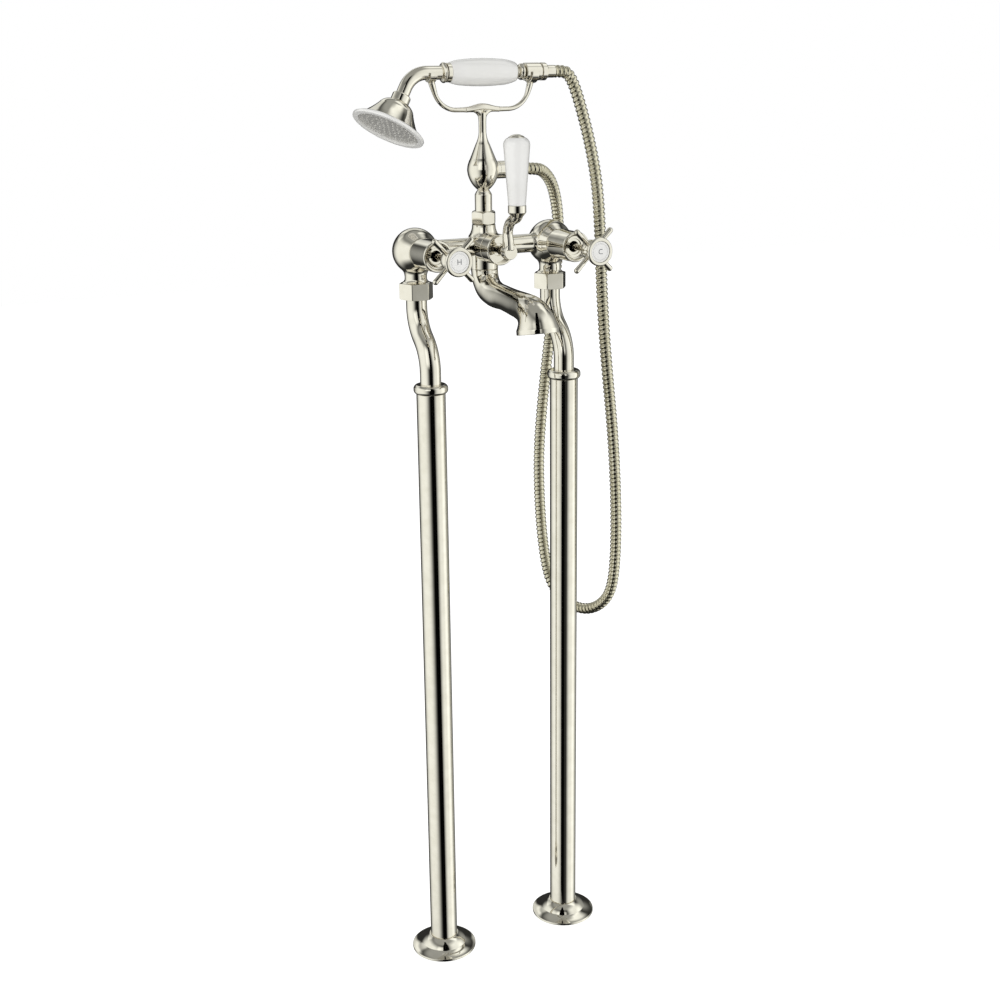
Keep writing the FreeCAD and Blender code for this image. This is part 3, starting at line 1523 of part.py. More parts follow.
def build():
    for name, side in SIDES.items():
        x = side * s.pipe_centres / 2
        floor_plate(f"floor_plate_{name}", x)
        floor_flange(f"floor_flange_{name}", x)
        leg_tube(f"leg_tube_{name}", x)
        leg_collar(f"leg_collar_{name}", x)
        supply_tail(f"supply_tail_{name}", x)
        s_bend(f"s_bend_{name}", x)
        union_nut(f"union_nut_{name}", x)
    union_washers("union_washers")
    bridge_body("bridge_body")
    for name, side in VALVES.items():
        x = side * s.pipe_centres / 2
        at = (x, s.bend_offset, s.bridge_height)
        valve_shroud(f"valve_shroud_{name}", at)
        valve_cartridge(f"valve_cartridge_{name}", at)
        valve_spindle(f"valve_spindle_{name}", at)
        handle_screw(f"handle_screw_{name}", at)
        cross_handle(f"cross_handle_{name}", x)
        index_ring(f"index_ring_{name}", at)
        index_disc(f"index_disc_{name}", at)
    middle = (0, s.bend_offset, s.bridge_height)
    diverter_shroud("diverter_shroud", middle)
    diverter_cartridge("diverter_cartridge", middle)
    diverter_spindle("diverter_spindle", middle)
    lever_arm("lever_arm")
    lever_grip("lever_grip")
    lever_tie_rod("lever_tie_rod")
    spout("spout")
    spout_straightener("spout_straightener")
    riser(middle)
    riser_nut("riser_nut")
    cradle_bulb("cradle_bulb")
    cradle_fork("cradle_fork")
    outlet_at = (0, s.bend_offset, s.bridge_height + s.riser_top + s.outlet_height)
    hose_outlet("hose_outlet", outlet_at)
    hose_nut_lower("hose_nut_lower", outlet_at)
    hose_ferrule("hose_ferrule_lower", s.outlet_reach + s.hose_nut_length, lower_hose_start(), outlet_at)
    hose("hose")
    grip_at = (0, s.bend_offset, grip_height())
    hose_ferrule("hose_ferrule_upper", barrel_end() + s.upper_nut_length, upper_hose_start(), grip_at)
    hose_nut_upper("hose_nut_upper", grip_at)
    handset_barrel("handset_barrel", grip_at)
    grip_bead("grip_bead", grip_at)
    handset_grip("handset_grip", grip_at)
    handset_stem("handset_stem", grip_at)
    grip_collar("grip_collar", grip_at)
    handset_neck("handset_neck", grip_at)
    rose()
    rose_plate("rose_plate")


def check():
    for item in doc.Objects:
        if "Invalid" in item.State or "Error" in item.State:
            raise RuntimeError(f"{item.Label} could not be built: {item.State}")
    for label, piece in nodes.items():
        if piece.Shape.isNull() or not piece.Shape.isValid():
            raise RuntimeError(f"{label} is not a valid shape")
        if not piece.Shape.Solids:
            raise RuntimeError(f"{label} holds no solid")


def write():
    os.makedirs("parts", exist_ok=True)
    for label, piece in nodes.items():
        piece.Shape.exportStep(f"parts/{label}.step")
        print(f"{label}: {len(piece.Shape.Solids)} solid, {piece.Shape.Volume:.0f} mm3")


doc = FreeCAD.newDocument("BathFiller")
nodes = {}
fill_sheet()
s = Sheet()
build()
doc.recompute()
check()
write()
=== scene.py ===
import math

import bpy
import numpy as np
from mathutils import Matrix, Vector


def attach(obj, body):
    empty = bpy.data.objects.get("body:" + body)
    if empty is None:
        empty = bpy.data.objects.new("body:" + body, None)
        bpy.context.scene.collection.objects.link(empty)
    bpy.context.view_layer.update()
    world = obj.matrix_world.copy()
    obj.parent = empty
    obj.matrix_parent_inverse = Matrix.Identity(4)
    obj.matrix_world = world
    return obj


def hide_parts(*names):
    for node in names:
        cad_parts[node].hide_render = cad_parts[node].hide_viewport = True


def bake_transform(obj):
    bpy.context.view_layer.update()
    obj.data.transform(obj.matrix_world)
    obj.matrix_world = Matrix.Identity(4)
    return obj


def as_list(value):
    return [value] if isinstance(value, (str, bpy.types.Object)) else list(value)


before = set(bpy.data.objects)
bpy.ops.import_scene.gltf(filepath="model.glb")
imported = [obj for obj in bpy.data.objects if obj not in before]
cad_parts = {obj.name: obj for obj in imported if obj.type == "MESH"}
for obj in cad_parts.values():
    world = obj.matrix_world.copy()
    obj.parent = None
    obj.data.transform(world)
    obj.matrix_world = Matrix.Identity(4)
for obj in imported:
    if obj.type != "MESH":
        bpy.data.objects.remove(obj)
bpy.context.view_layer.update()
print("frame loaded")

# Sizes are in millimetres and degrees, as on a maker's drawing; makePiece brings them to metres.
milli = 0.001
layout = {
    "legSpacing": 180.0,
    "legTop": 747.5,
    "barHeight": 911.1,
    "barDepth": 35.7,  # the crossbar lies this far behind the legs
    "bulbFoot": 977.6,
    "gripHeight": 1111.4,
}
slip = 0.15  # between a hole and what sits in it
gap = 0.3  # between two pieces that don't touch
sides = {"left": -1, "right": 1}
valves = {"hot": -1, "cold": 1}
sideX = layout["legSpacing"] / 2
depth = layout["barDepth"]
barMiddle = (0, depth, layout["barHeight"])
gripMiddle = (0, depth, layout["gripHeight"])

# ways a turned piece may lie: the columns are where its own X, Y and Z go
upright = np.eye(3)
forward = np.array([[1, 0, 0], [0, 0, -1], [0, 1, 0]], float)  # its Z comes to the front
rightward = np.array([[0, 0, 1], [0, 1, 0], [-1, 0, 0]], float)  # its Z goes to the right

cameraFacts = {
    "place": (-774.69, -1547.46, 1117.37),
    "yaw": -26.590,  # turned to the right of straight ahead
    "pitch": 16.561,  # looking down
    "roll": 0.621,
    "focalPixels": 1457.3,
    "framePixels": 1000,
}


def addObject(name, data):
    thing = bpy.data.objects.new(name, data)
    bpy.context.scene.collection.objects.link(thing)
    return thing


def turnAbout(axis, degrees):
    return np.array(Matrix.Rotation(math.radians(degrees), 3, axis))


# a camera turned by its yaw about the upright line, then tipped by its pitch, then rolled about its
# line of sight
def makeCamera(place, yaw, pitch, roll, focalPixels, framePixels):
    data = bpy.data.cameras.new("camera")
    data.sensor_width = 36
    data.lens = data.sensor_width * focalPixels / framePixels
    camera = addObject("camera", data)
    pose = np.eye(4)
    pose[:3, :3] = turnAbout("Z", yaw) @ turnAbout("X", 90 - pitch) @ turnAbout("Z", -roll)
    pose[:3, 3] = np.array(place) * milli
    camera.matrix_world = Matrix(pose.tolist())
    bpy.context.scene.camera = camera


makeCamera(**cameraFacts)
bpy.context.scene.view_settings.view_transform = "Standard"
print("camera placed")


# angles that share out a whole turn
def wholeTurn(count):
    return np.linspace(0, 2 * math.pi, count, endpoint=False)


# the same directions, each of length one
def unit(vectors):
    return vectors / np.linalg.norm(vectors, axis=-1, keepdims=True)


# how far along a line each of its points lies
def runAlong(line):
    return np.concatenate([[0], np.cumsum(np.linalg.norm(np.diff(line, axis=0), axis=1))])


# a smooth rise from 0 to 1
def smooth(share):
    share = np.clip(share, 0, 1)
    return share * share * (3 - 2 * share)


# grid of points (rows, columns, 3): columns close round, rows too on a ring; a row on one spot is a pole
def skin(points, ring=False):
    rows, columns = points.shape[:2]
    index = np.arange(rows * columns).reshape(rows, columns)
    pole = np.ptp(points, axis=1).max(axis=1) < 1e-6
    index[pole] = index[pole][:, :1]
    this = index if ring else index[:-1]
    following = np.roll(index, -1, axis=0) if ring else index[1:]
    corners = [this, np.roll(this, -1, axis=1), np.roll(following, -1, axis=1), following]
    return points.reshape(-1, 3), np.stack(corners, axis=-1).reshape(-1, 4)


# rings along a line, closed at both ends by the line's own end points
def cappedSkin(rings, line):
    head, tail = (np.repeat(line[end][None, None], rings.shape[1], axis=1) for end in (0, -1))
    return skin(np.concatenate([head, rings, tail]))


# skins become one mesh; each point's normal is the sum of the faces round it, larger faces counting more
def makePiece(name, skins, material, body, replaced=()):
    starts = np.cumsum([0] + [len(points) for points, _ in skins])
    points = np.concatenate([points for points, _ in skins]) * milli
    quads = np.concatenate([quads + start for (_, quads), start in zip(skins, starts)])
    used, quads = np.unique(quads, return_inverse=True)
    points, quads = points[used], quads.reshape(-1, 4)
    headPole, tailPole = quads[:, 0] == quads[:, 1], quads[:, 2] == quads[:, 3]
    whole = quads[~headPole & ~tailPole]
    pointed = np.concatenate([quads[headPole][:, 1:], quads[tailPole & ~headPole][:, :3]])
    mesh = bpy.data.meshes.new(name)
    mesh.from_pydata(points.tolist(), [], whole.tolist() + pointed.tolist())
    first, second, third, fourth = (points[quads[:, corner]] for corner in range(4))
    faceNormals = np.cross(third - first, fourth - second)
    normals = np.zeros_like(points)
    for corner in range(4):
        np.add.at(normals, quads[:, corner], faceNormals)
    normals /= np.maximum(np.linalg.norm(normals, axis=1, keepdims=True), 1e-12)
    mesh.shade_smooth()
    mesh.normals_split_custom_set_from_vertices(normals.tolist())
    mesh.materials.append(material)
    piece = addObject(name, mesh)
    if body:
        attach(piece, body)
    if replaced:
        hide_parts(*replaced)
    return piece


# the node that a piece is named after, with an underscore before each word
def nodeOf(name):
    words = "".join(f"_{letter.lower()}" if letter.isupper() else letter for letter in name)
    return words.replace("-", "_")


def makeNickel(name, *skins, body="body", node=None):
    return makePiece(name, skins, finish["polishedNickel"], body, [node or nodeOf(name)])


def makeGlazed(name, glazed, body):
    makePiece(name, [glazed], finish["whiteGlaze"], body, [nodeOf(name)])


# points from one corner to the next, along a line or along an arc that turns by that many radians
def runPoints(start, end, turn, shares):
    start, end = np.array(start, float), np.array(end, float)
    if abs(turn) < 1e-9:
        return start + (end - start) * shares[:, None]
    chord = end - start
    centre = (start + end) / 2 + np.array([-chord[1], chord[0]]) / 2 / math.tan(turn / 2)
    angle = turn * shares
    spoke = start - centre
    across = np.cos(angle) * spoke[0] - np.sin(angle) * spoke[1]
    up = np.sin(angle) * spoke[0] + np.cos(angle) * spoke[1]
    return centre + np.stack([across, up], axis=1)


# corners (radius, height[, turn to the next]) anticlockwise; sharp corners become small parabolas of
# that reach
def outline(corners, edge=0.35, step=4.0, closed=True):
    runs = []
    count = len(corners) if closed else len(corners) - 1
    for number in range(count):
        start, end = corners[number][:2], corners[(number + 1) % len(corners)][:2]
        turn = math.radians(corners[number][2]) if len(corners[number]) > 2 else 0.0
        length = math.dist(start, end) * (1 if turn == 0 else turn / 2 / math.sin(turn / 2))
        runs.append((start, end, turn, length))
    mostCut = 0.35  # of a run, at either end
    parts = []
    for number, (start, end, turn, length) in enumerate(runs):
        share = min(edge / length, mostCut)
        cutHead = share if closed or number > 0 else 0
        cutTail = share if closed or number < count - 1 else 0
        pieces = max(1, math.ceil(abs(math.degrees(turn)) / step))
        parts.append(runPoints(start, end, turn, np.linspace(cutHead, 1 - cutTail, pieces + 1)))
    share = np.linspace(0, 1, 5)[1:-1, None]
    rounded = []
    for number, part in enumerate(parts):
        rounded.append(part)
        if closed or number < count - 1:
            corner = np.array(runs[number][1], float)
            first, last = part[-1], parts[(number + 1) % count][0]
            rounded.append((1 - share) ** 2 * first + 2 * share * (1 - share) * corner + share**2 * last)
    return np.concatenate(rounded)


# turn by which a dome of that radius and rise leaves its rim, so that it meets the axis square
def domeTurn(radius, rise):
    return 2 * math.degrees(math.atan2(rise, radius))


# points of a turned form's own frame, laid into space
def laid(local, place, axes):
    return local @ axes.T + np.array(place, float)


# a turned form: the outline goes round its own axis; one that starts on the axis is closed by two poles
def turned(corners, place, axes=upright, edge=0.35, segments=96):
    hollow = corners[0][0] > 0
    profile = outline(corners, edge, closed=hollow)
    angle = wholeTurn(segments)
    radius, height = profile[:, :1], profile[:, 1:]
    local = np.stack([radius * np.cos(angle), radius * np.sin(angle), height + 0 * angle], axis=-1)
    return skin(laid(local, place, axes), ring=hollow)


# a tube, or a rod when its inner radius is 0
def sleeve(inner, outer, low, high, place, axes=upright):
    return turned([(inner, low), (outer, low), (outer, high), (inner, high)], place, axes)


# circles square to a line, with the line's own plane as their guide, closed at both ends
def rodAlong(line, radius, planeNormal, segments=48):
    line = np.asarray(line, float)
    guide = np.array(planeNormal, float)
    side = np.cross(guide, unit(np.gradient(line, axis=0)))
    angle = wholeTurn(segments)[:, None]
    radii = np.broadcast_to(np.asarray(radius, float), len(line))[:, None, None]
    rings = line[:, None] + radii * (np.cos(angle) * side[:, None] + np.sin(angle) * guide)
    return cappedSkin(rings, line)


# evenly spaced points on a flat path of corners and arcs, laid into space by two directions
def flatPath(corners, place, across, up, spacing=1.5):
    flat = outline(corners, edge=0, step=2.0, closed=False)
    run = runAlong(flat)
    keep = np.concatenate([[True], np.diff(run) > 1e-9])
    even = np.linspace(0, run[-1], max(2, round(run[-1] / spacing)))
    out, rise = (np.interp(even, run[keep], flat[keep, side])[:, None] for side in (0, 1))
    return np.array(place, float) + out * np.array(across, float) + rise * np.array(up, float)


# rings (depth, height, lean, radius) along a bent form, joined by cubic curves through each of the
# four numbers
def throughRings(rings, count):
    rings = np.array(rings, float)
    place = runAlong(rings[:, :2])
    slope = np.gradient(rings, place, axis=0)
    at = np.linspace(0, place[-1], count)
    near = np.clip(np.searchsorted(place, at, side="right") - 1, 0, len(place) - 2)
    reach = np.diff(place)[near][:, None]
    share = (at - place[near])[:, None] / reach
    return (
        (2 * share**3 - 3 * share**2 + 1) * rings[near]
        + (share**3 - 2 * share**2 + share) * reach * slope[near]
        + (3 * share**2 - 2 * share**3) * rings[near + 1]
        + (share**3 - share**2) * reach * slope[near + 1]
    )


# circles in the middle plane from rings (depth, height, lean, radius); a lean drops the back edge, 0
# is level
def leaningCircles(rings, segments=96):
    back, height, lean, radius = (rings[:, number][:, None] for number in range(4))
    lean = np.radians(lean)
    angle = wholeTurn(segments)
    along = radius * np.sin(angle)
    circles = [radius * np.cos(angle), back + along * np.cos(lean), height - along * np.sin(lean)]
    return np.stack(circles, axis=-1)


# a hexagonal nut: the radius round it is the six flats' soft minimum, and its two ends are turned
# down to a cone
def hexagonNut(x, bottom, bore, radius, height, chamfer, slope, vertexAt):
    sharpness, bevel = 90, 0.3
    angle = wholeTurn(360)
    flatAt = np.radians(vertexAt + 30 + 60 * np.arange(6))[:, None]
    closeness = np.maximum(np.cos(angle - flatAt), 0.01) ** sharpness
    flats = radius * math.cos(math.radians(30)) / closeness.sum(axis=0) ** (1 / sharpness)
    start = radius - chamfer
    cone = np.maximum(flats - bevel - start, 0) * slope
    level = 0 * angle
    below = [
        (bore + level, level + bevel), (bore + bevel + level, level),
        (np.minimum(start, flats - bevel), level), (flats - bevel, cone),
        (flats - 0.3 * bevel, cone + 0.3 * bevel), (flats, cone + bevel),
    ]
    above = [(out, height - up) for out, up in reversed(below)]
    out, up = (np.stack([row[number] for row in below + above]) for number in (0, 1))
    local = np.stack([out * np.cos(angle), out * np.sin(angle), up], axis=-1)
    return skin(laid(local, (x, depth, bottom), upright), ring=True)


# what goes into a node: another node's output is linked, anything else is written in
def feed(tree, node, inputs):
    for key, value in inputs.items():
        if isinstance(value, bpy.types.NodeSocket):
            tree.links.new(value, node.inputs[key])
        else:
            node.inputs[key].default_value = value
    return node


# a finish: fine noise shifts the colour between two tones, the roughness between two values, and
# lifts the surface
def makeFinish(name, dark, light, smoothest, roughest, grain, lift, extra):
    material = bpy.data.materials.new(name)
    material.use_nodes = True
    tree = material.node_tree
    new = tree.nodes.new
    place = new("ShaderNodeTexCoord").outputs["Object"]
    noise = {"Vector": place, "Scale": grain, "Detail": 4}
    fine = feed(tree, new("ShaderNodeTexNoise"), noise).outputs["Fac"]
    noise.update({"Scale": grain / 12, "Detail": 3})
    broad = feed(tree, new("ShaderNodeTexNoise"), noise).outputs["Fac"]
    colours = feed(tree, new("ShaderNodeValToRGB"), {"Fac": broad})
    for element, tone, position in zip(colours.color_ramp.elements, (dark, light), (0.35, 0.65)):
        element.position = position
        element.color = (*tone, 1)
    polish = feed(tree, new("ShaderNodeMapRange"), {
        "Value": fine, "From Min": 0.3, "From Max": 0.7, "To Min": smoothest, "To Max": roughest,
    })
    bump = feed(tree, new("ShaderNodeBump"), {"Height": broad, "Strength": lift, "Distance": 0.0002})
    feed(tree, tree.nodes["Principled BSDF"], {
        "Base Color": colours.outputs["Color"], "Roughness": polish.outputs["Result"],
        "Normal": bump.outputs["Normal"], "Coat Roughness": 0.03, **extra,
    })
    return material


metal = {"Metallic": 1.0}
# each finish: darker and lighter tone, smoothest and roughest, grain, lift and what else its shader gets
finishFacts = {
    "polishedNickel": ((0.78, 0.745, 0.66), (0.84, 0.805, 0.725), 0.035, 0.08, 900, 0.02, metal),
    "hoseNickel": ((0.62, 0.585, 0.45), (0.72, 0.68, 0.55), 0.07, 0.13, 1200, 0.03, metal),
    "satinPlate": ((0.60, 0.59, 0.56), (0.68, 0.67, 0.64), 0.28, 0.40, 1500, 0.10, {"Metallic": 0.45}),
    "whiteGlaze": ((0.86, 0.855, 0.83), (0.90, 0.895, 0.875), 0.16, 0.24, 260, 0.03, {"Coat Weight": 0.8}),
    "printedInk": ((0.10, 0.105, 0.12), (0.16, 0.165, 0.18), 0.3, 0.4, 2000, 0.02, {}),
    "castBrass": ((0.62, 0.46, 0.20), (0.72, 0.54, 0.25), 0.22, 0.35, 700, 0.08, metal),
    "bareSteel": ((0.50, 0.50, 0.49), (0.58, 0.58, 0.57), 0.25, 0.38, 900, 0.08, metal),
    "blackRubber": ((0.012, 0.012, 0.012), (0.03, 0.03, 0.03), 0.55, 0.7, 1100, 0.15, {}),
}
finish = {name: makeFinish(name, *facts) for name, facts in finishFacts.items()}
carriedFinish = {  # of the solids that are shown as they are
    "bareSteel": ("floor_plate_left", "floor_plate_right", "handle_screw_hot", "handle_screw_cold"),
    "castBrass": ("supply_tail_left", "supply_tail_right", "handset_stem"),
    "blackRubber": ("union_washers", "riser_washer"),
    "polishedNickel": (
        "valve_cartridge_hot", "valve_cartridge_cold", "diverter_cartridge", "diverter_spindle",
    ),
}
for name, nodes in carriedFinish.items():
    for node in nodes:
        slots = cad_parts[node].data.materials
        slots.clear()
        slots.append(finish[name])
print("finishes mixed")

hoseFacts = {
    "radius": 7.3,
    "valley": 1.35,
    "pitch": 5.65,
    "length": 1.41,  # metres
    "upperLead": 13.0,
    "lowerLead": 24.0,
    "start": (94.8, 35.7, 1111.4),
    "end": (48.0, 35.7, 1000.0),
    "still": (0.0635, 0.0357, 1.0),  # metres: a point that belongs with the body
    "moving": (0.0764, -0.0030, 1.0129),  # and one that belongs with the handset
    "guide": (0.57, 0.82, 0.0),  # never along the hose, so the circles don't turn over
    "route": [
        (113.5, 35.6, 1109.3), (119.3, 35, 1102), (124.5, 33.6, 1089), (130, 30.5, 1069),
        (135.5, 24, 1040), (138.5, 14, 1006), (138.5, 3, 970), (136, -7, 925), (133, -16, 870),
        (134, -21, 810), (139, -23, 750), (146, -23, 690), (152.5, -20.5, 630), (157.5, -17, 570),
        (160.5, -12.5, 512), (160.5, -5, 460.5), (154.5, 9, 435.5), (144.5, 31, 421), (133, 57, 421),
        (122.5, 80, 435.5), (116.5, 93, 461), (111, 98, 516), (107, 97.5, 576), (106, 96, 632),
        (109, 93, 688), (114, 90.5, 742), (119.5, 88, 795), (124.5, 86.5, 846), (127.5, 84.5, 890),
        (125.5, 78.5, 928), (117, 69, 958), (104, 57, 981), (88, 46.5, 994.5),
    ],
}


# a new mesh's points, as rows
def meshPoints(mesh):
    points = np.zeros(len(mesh.vertices) * 3)
    mesh.vertices.foreach_get("co", points)
    return points.reshape(-1, 3)


# what a curve or a letter is as a mesh, once Blender has worked it out
def meshOf(name, data):
    carrier = bpy.data.objects.new(name, data)
    mesh = bpy.data.meshes.new_from_object(carrier)
    bpy.data.objects.remove(carrier)
    return mesh


# the smooth line of a NURBS spline whose control points are the route's own points
def routeLine(name, controls):
    data = bpy.data.curves.new(name, "CURVE")
    data.dimensions = "3D"
    spline = data.splines.new("NURBS")
    spline.points.add(len(controls) - 1)
    spline.points.foreach_set("co", np.column_stack([controls * milli, np.ones(len(controls))]).ravel())
    spline.order_u = 3
    spline.use_endpoint_u = True
    spline.resolution_u = 24
    mesh = meshOf(name, data)
    points = meshPoints(mesh)
    bpy.data.meshes.remove(mesh)
    return points / milli


# circles whose radius dips in a narrow valley once in each turn of a helix along the line
def ribbedSkin(line, facts, segments=32, perRib=10):
    run = runAlong(line)
    even = np.linspace(0, run[-1], round(run[-1] / facts["pitch"]) * perRib + 1)
    line = np.stack([np.interp(even, run, line[:, side]) for side in range(3)], axis=1)
    ahead = unit(np.gradient(line, axis=0))
    side = unit(np.cross(np.array(facts["guide"]), ahead))
    other = np.cross(ahead, side)
    angle = wholeTurn(segments)
    turns = even[:, None] / facts["pitch"] - angle / 2 / math.pi
    radius = facts["radius"] - facts["valley"] * np.abs(np.cos(math.pi * turns)) ** 3
    spokes = np.cos(angle)[:, None] * side[:, None] + np.sin(angle)[:, None] * other[:, None]
    return cappedSkin(line[:, None] + radius[..., None] * spokes, line)


def makeHose(facts, fittings):
    start, end = np.array(facts["start"]), np.array(facts["end"])
    upperLead, lowerLead = np.array([facts["upperLead"], 0, 0]), np.array([facts["lowerLead"], 0, 0])
    controls = np.array([start, start + upperLead, *facts["route"], end + lowerLead, end], float)
    line = routeLine("hoseRoute", controls)
    ribbed = ribbedSkin(line, facts)
    hose = makePiece("showerHose", [ribbed], finish["hoseNickel"], None, ["hose"])
    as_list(fittings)
    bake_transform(hose)


legFacts = {
    "radius": 17.35, "bore": 15.85, "foot": 3.0,
    "flangeRadius": 41.4, "flangeRim": 3.0, "flangeHeight": 18.3, "flangeWall": 1.9, "flangeSeat": 11.5,
    "shoulderRadius": 29.0, "shoulderHeight": 8.2,
    "collarRadius": 20.5, "collarHeight": 11.0, "collarSpigot": 12.0, "collarBore": 12.65,
}


def makeLeg(
    side, x, radius, bore, foot, flangeRadius, flangeRim, flangeHeight, flangeWall, flangeSeat,
    shoulderRadius, shoulderHeight, collarRadius, collarHeight, collarSpigot, collarBore,
):
    place = (x, 0, 0)
    hole, rim = radius + slip, flangeRadius - flangeWall
    makeNickel(f"floorFlange-{side}", turned([
        (rim, 0), (flangeRadius, 0), (flangeRadius, flangeRim, -24),
        (shoulderRadius, shoulderHeight, 36), (hole + 1, flangeHeight), (hole, flangeHeight),
        (hole, flangeSeat), (hole + flangeWall, flangeSeat),
        (shoulderRadius - flangeWall, shoulderHeight - flangeWall), (rim, flangeRim - flangeWall),
    ], place, edge=0.5))
    top = layout["legTop"]
    tube = sleeve(bore, radius, foot, top, place)
    makeNickel(f"legTube-{side}", tube)
    spigot, low, end = bore - slip, top - collarSpigot, top + collarHeight
    makeNickel(f"legCollar-{side}", turned([
        (collarBore, low), (spigot, low), (spigot, top), (radius, top, 80),
        (collarRadius, top + collarHeight / 2, 80), (radius, end), (collarBore, end),
    ], place))


for side, sign in sides.items():
    makeLeg(side, sign * sideX, **legFacts)
print("legs stood")

elbowFacts = {
    "radius": 12.5, "bore": 10.1,
    "tail": 47.5,  # below the top of the leg
    "straight": 24.5,  # above it
    "head": 13.4, "top": 860.4,
    "flangeRadius": 15.0, "flange": 3.0,
}
unionFacts = {
    "bottom": 855.0, "bore": 12.8, "radius": 20.8, "height": 19.0, "chamfer": 1.6, "slope": 0.5,
    "vertexAt": -8.0,
}


def makeElbow(side, x, radius, bore, tail, straight, head, top, flangeRadius, flange):
    rise = top - head - layout["legTop"] - straight
    turn = 2 * math.degrees(math.atan2(depth, rise))
    low = top - layout["legTop"] + tail
    line = flatPath([
        (0, -low), (0, -head - rise, -turn), (depth / 2, -head - rise / 2, turn), (depth, -head),
        (depth, 0),
    ], (x, 0, top), (0, 1, 0), (0, 0, 1))
    pipe = rodAlong(line, radius, (-1, 0, 0), segments=96)
    ring = sleeve(bore, flangeRadius, -flange, 0, (x, depth, top))
    makeNickel(f"elbow-{side}", pipe, ring, node=f"s_bend_{side}")
    makeNickel(f"unionNut-{side}", hexagonNut(x, **unionFacts))


for side, sign in sides.items():
    makeElbow(side, sign * sideX, **elbowFacts)
print("elbows bent")

castingFacts = {
    "barRadius": 11.0, "barFillet": 8.0,
    "globeRadius": 27.0, "bossRoot": 21.5, "bossRadius": 17.6, "bossLength": 22.7,
    "neckRadius": 13.3, "neckDrop": 48.5, "neckFillet": 10.0, "threadRadius": 15.2, "threadLength": 11.7,
    "collarRadius": 18.0, "collarHeight": 4.2,
    "hubRadius": 16.5, "hubDrop": 26.1, "hubShoulder": 9.0, "hubTopRadius": 14.0, "hubTop": 25.9,
    "flareRadius": 18.5, "flareHeight": 12.5, "flareRim": 1.0,
    "changeoverRadius": 18.0, "changeoverLength": 26.2,
}


# where a fillet of that radius leaves a rod and meets a ball, as (distance from the rod's axis, along it),
# and how far it turns
def ballFillet(ball, rod, fillet):
    along = math.sqrt((ball + fillet) ** 2 - (rod + fillet) ** 2)
    share = ball / (ball + fillet)
    turn = math.degrees(math.atan2(along, rod + fillet))
    return (rod, along), ((rod + fillet) * share, along * share), turn


def makeCasting(
    barRadius, barFillet, globeRadius, bossRoot, bossRadius, bossLength, neckRadius, neckDrop, neckFillet,
    threadRadius, threadLength, collarRadius, collarHeight, hubRadius, hubDrop, hubShoulder, hubTopRadius,
    hubTop, flareRadius, flareHeight, flareRim, changeoverRadius, changeoverLength,
):
    leave, meet, turn = ballFillet(globeRadius, barRadius, barFillet)
    skins = [turned([
        (0, -sideX), (meet[0], -sideX), (meet[0], -sideX + meet[1], -turn),
        (leave[0], -sideX + leave[1]), (leave[0], sideX - leave[1], -turn), (meet[0], sideX - meet[1]),
        (meet[0], sideX), (0, sideX),
    ], barMiddle, rightward, edge=0.05)]
    rootAlong = math.sqrt(globeRadius**2 - bossRoot**2)
    rootTurn = math.degrees(math.acos(bossRoot / globeRadius))
    leave, meet, turn = ballFillet(globeRadius, neckRadius, neckFillet)
    collar = threadLength - neckDrop
    for sign in sides.values():
        place = (sign * sideX, depth, layout["barHeight"])
        skins.append(turned([
            (0, -globeRadius, 90), (globeRadius, 0, rootTurn), (bossRoot, rootAlong),
            (bossRadius, bossLength), (0, bossLength),
        ], place, forward))
        skins.append(turned([
            (0, -neckDrop), (threadRadius, -neckDrop), (threadRadius, collar),
            (collarRadius, collar, -60), (neckRadius, collar + collarHeight),
            (leave[0], -leave[1], -turn), (meet[0], -meet[1]), (0, -meet[1]),
        ], place, edge=0.2))
    skins.append(turned([
        (0, -hubDrop), (hubRadius, -hubDrop), (hubRadius, hubShoulder),
        (flareRadius, flareHeight - flareRim), (flareRadius, flareHeight, -40), (hubTopRadius, hubTop),
        (0, hubTop),
    ], barMiddle))
    skins.append(sleeve(0, changeoverRadius, 0, changeoverLength, barMiddle, forward))
    makeNickel("bodyCasting", *skins, node="bridge_body")


makeCasting(**castingFacts)
print("casting poured")

shroudFacts = {
    "cavity": 13.6, "radius": 18.0, "edge": 1.5, "back": 23.0, "front": 65.7,
    "dishRadius": 15.4, "dishDepth": 3.2, "stepRadius": 12.6, "innerRadius": 9.4, "step": 1.6,
    "hole": 6.5, "face": 55.7,
}
handleFacts = {
    "back": 92.7,  # from the globe's middle
    "length": 22.0, "seat": 17.0, "bore": 3.85, "well": 5.2,
    "endRadius": 9.8, "waistRadius": 9.6, "crownRadius": 12.4, "crown": 4.0,
    "spigotRadius": 8.0, "spigot": 3.4,
    "armHeight": 13.0, "armReach": 34.6, "armStart": 6.2, "armRoot": 2.5, "armTip": 3.4, "armAngle": 45.0,
    "spindleRadius": 3.8, "spindleStart": 6.3,
}
indexFacts = {
    "ringRadius": 16.2, "ringHeight": 7.6, "ringBase": 4.2, "lip": 2.2,
    "discRadius": 12.2, "discThickness": 2.7, "discCrown": 0.5,
}
marking = {
    "lift": 0.04, "thickness": 0.12,
    "tickCount": 36, "tickInside": 8.9, "tickOutside": 10.1, "tickWidth": 0.28,
    "letterHeight": 6.0,
    "capitals": 0.7,  # of the font's own size
    "letters": {"hot": "H", "cold": "C"},
}


# the outer corners of a sleeve whose two ends are rounded over
def roundedOutside(cavity, radius, edge, back, front):
    return [
        (cavity, back), (radius - edge, back, 90), (radius, back + edge), (radius, front - edge, 90),
        (radius - edge, front),
    ]


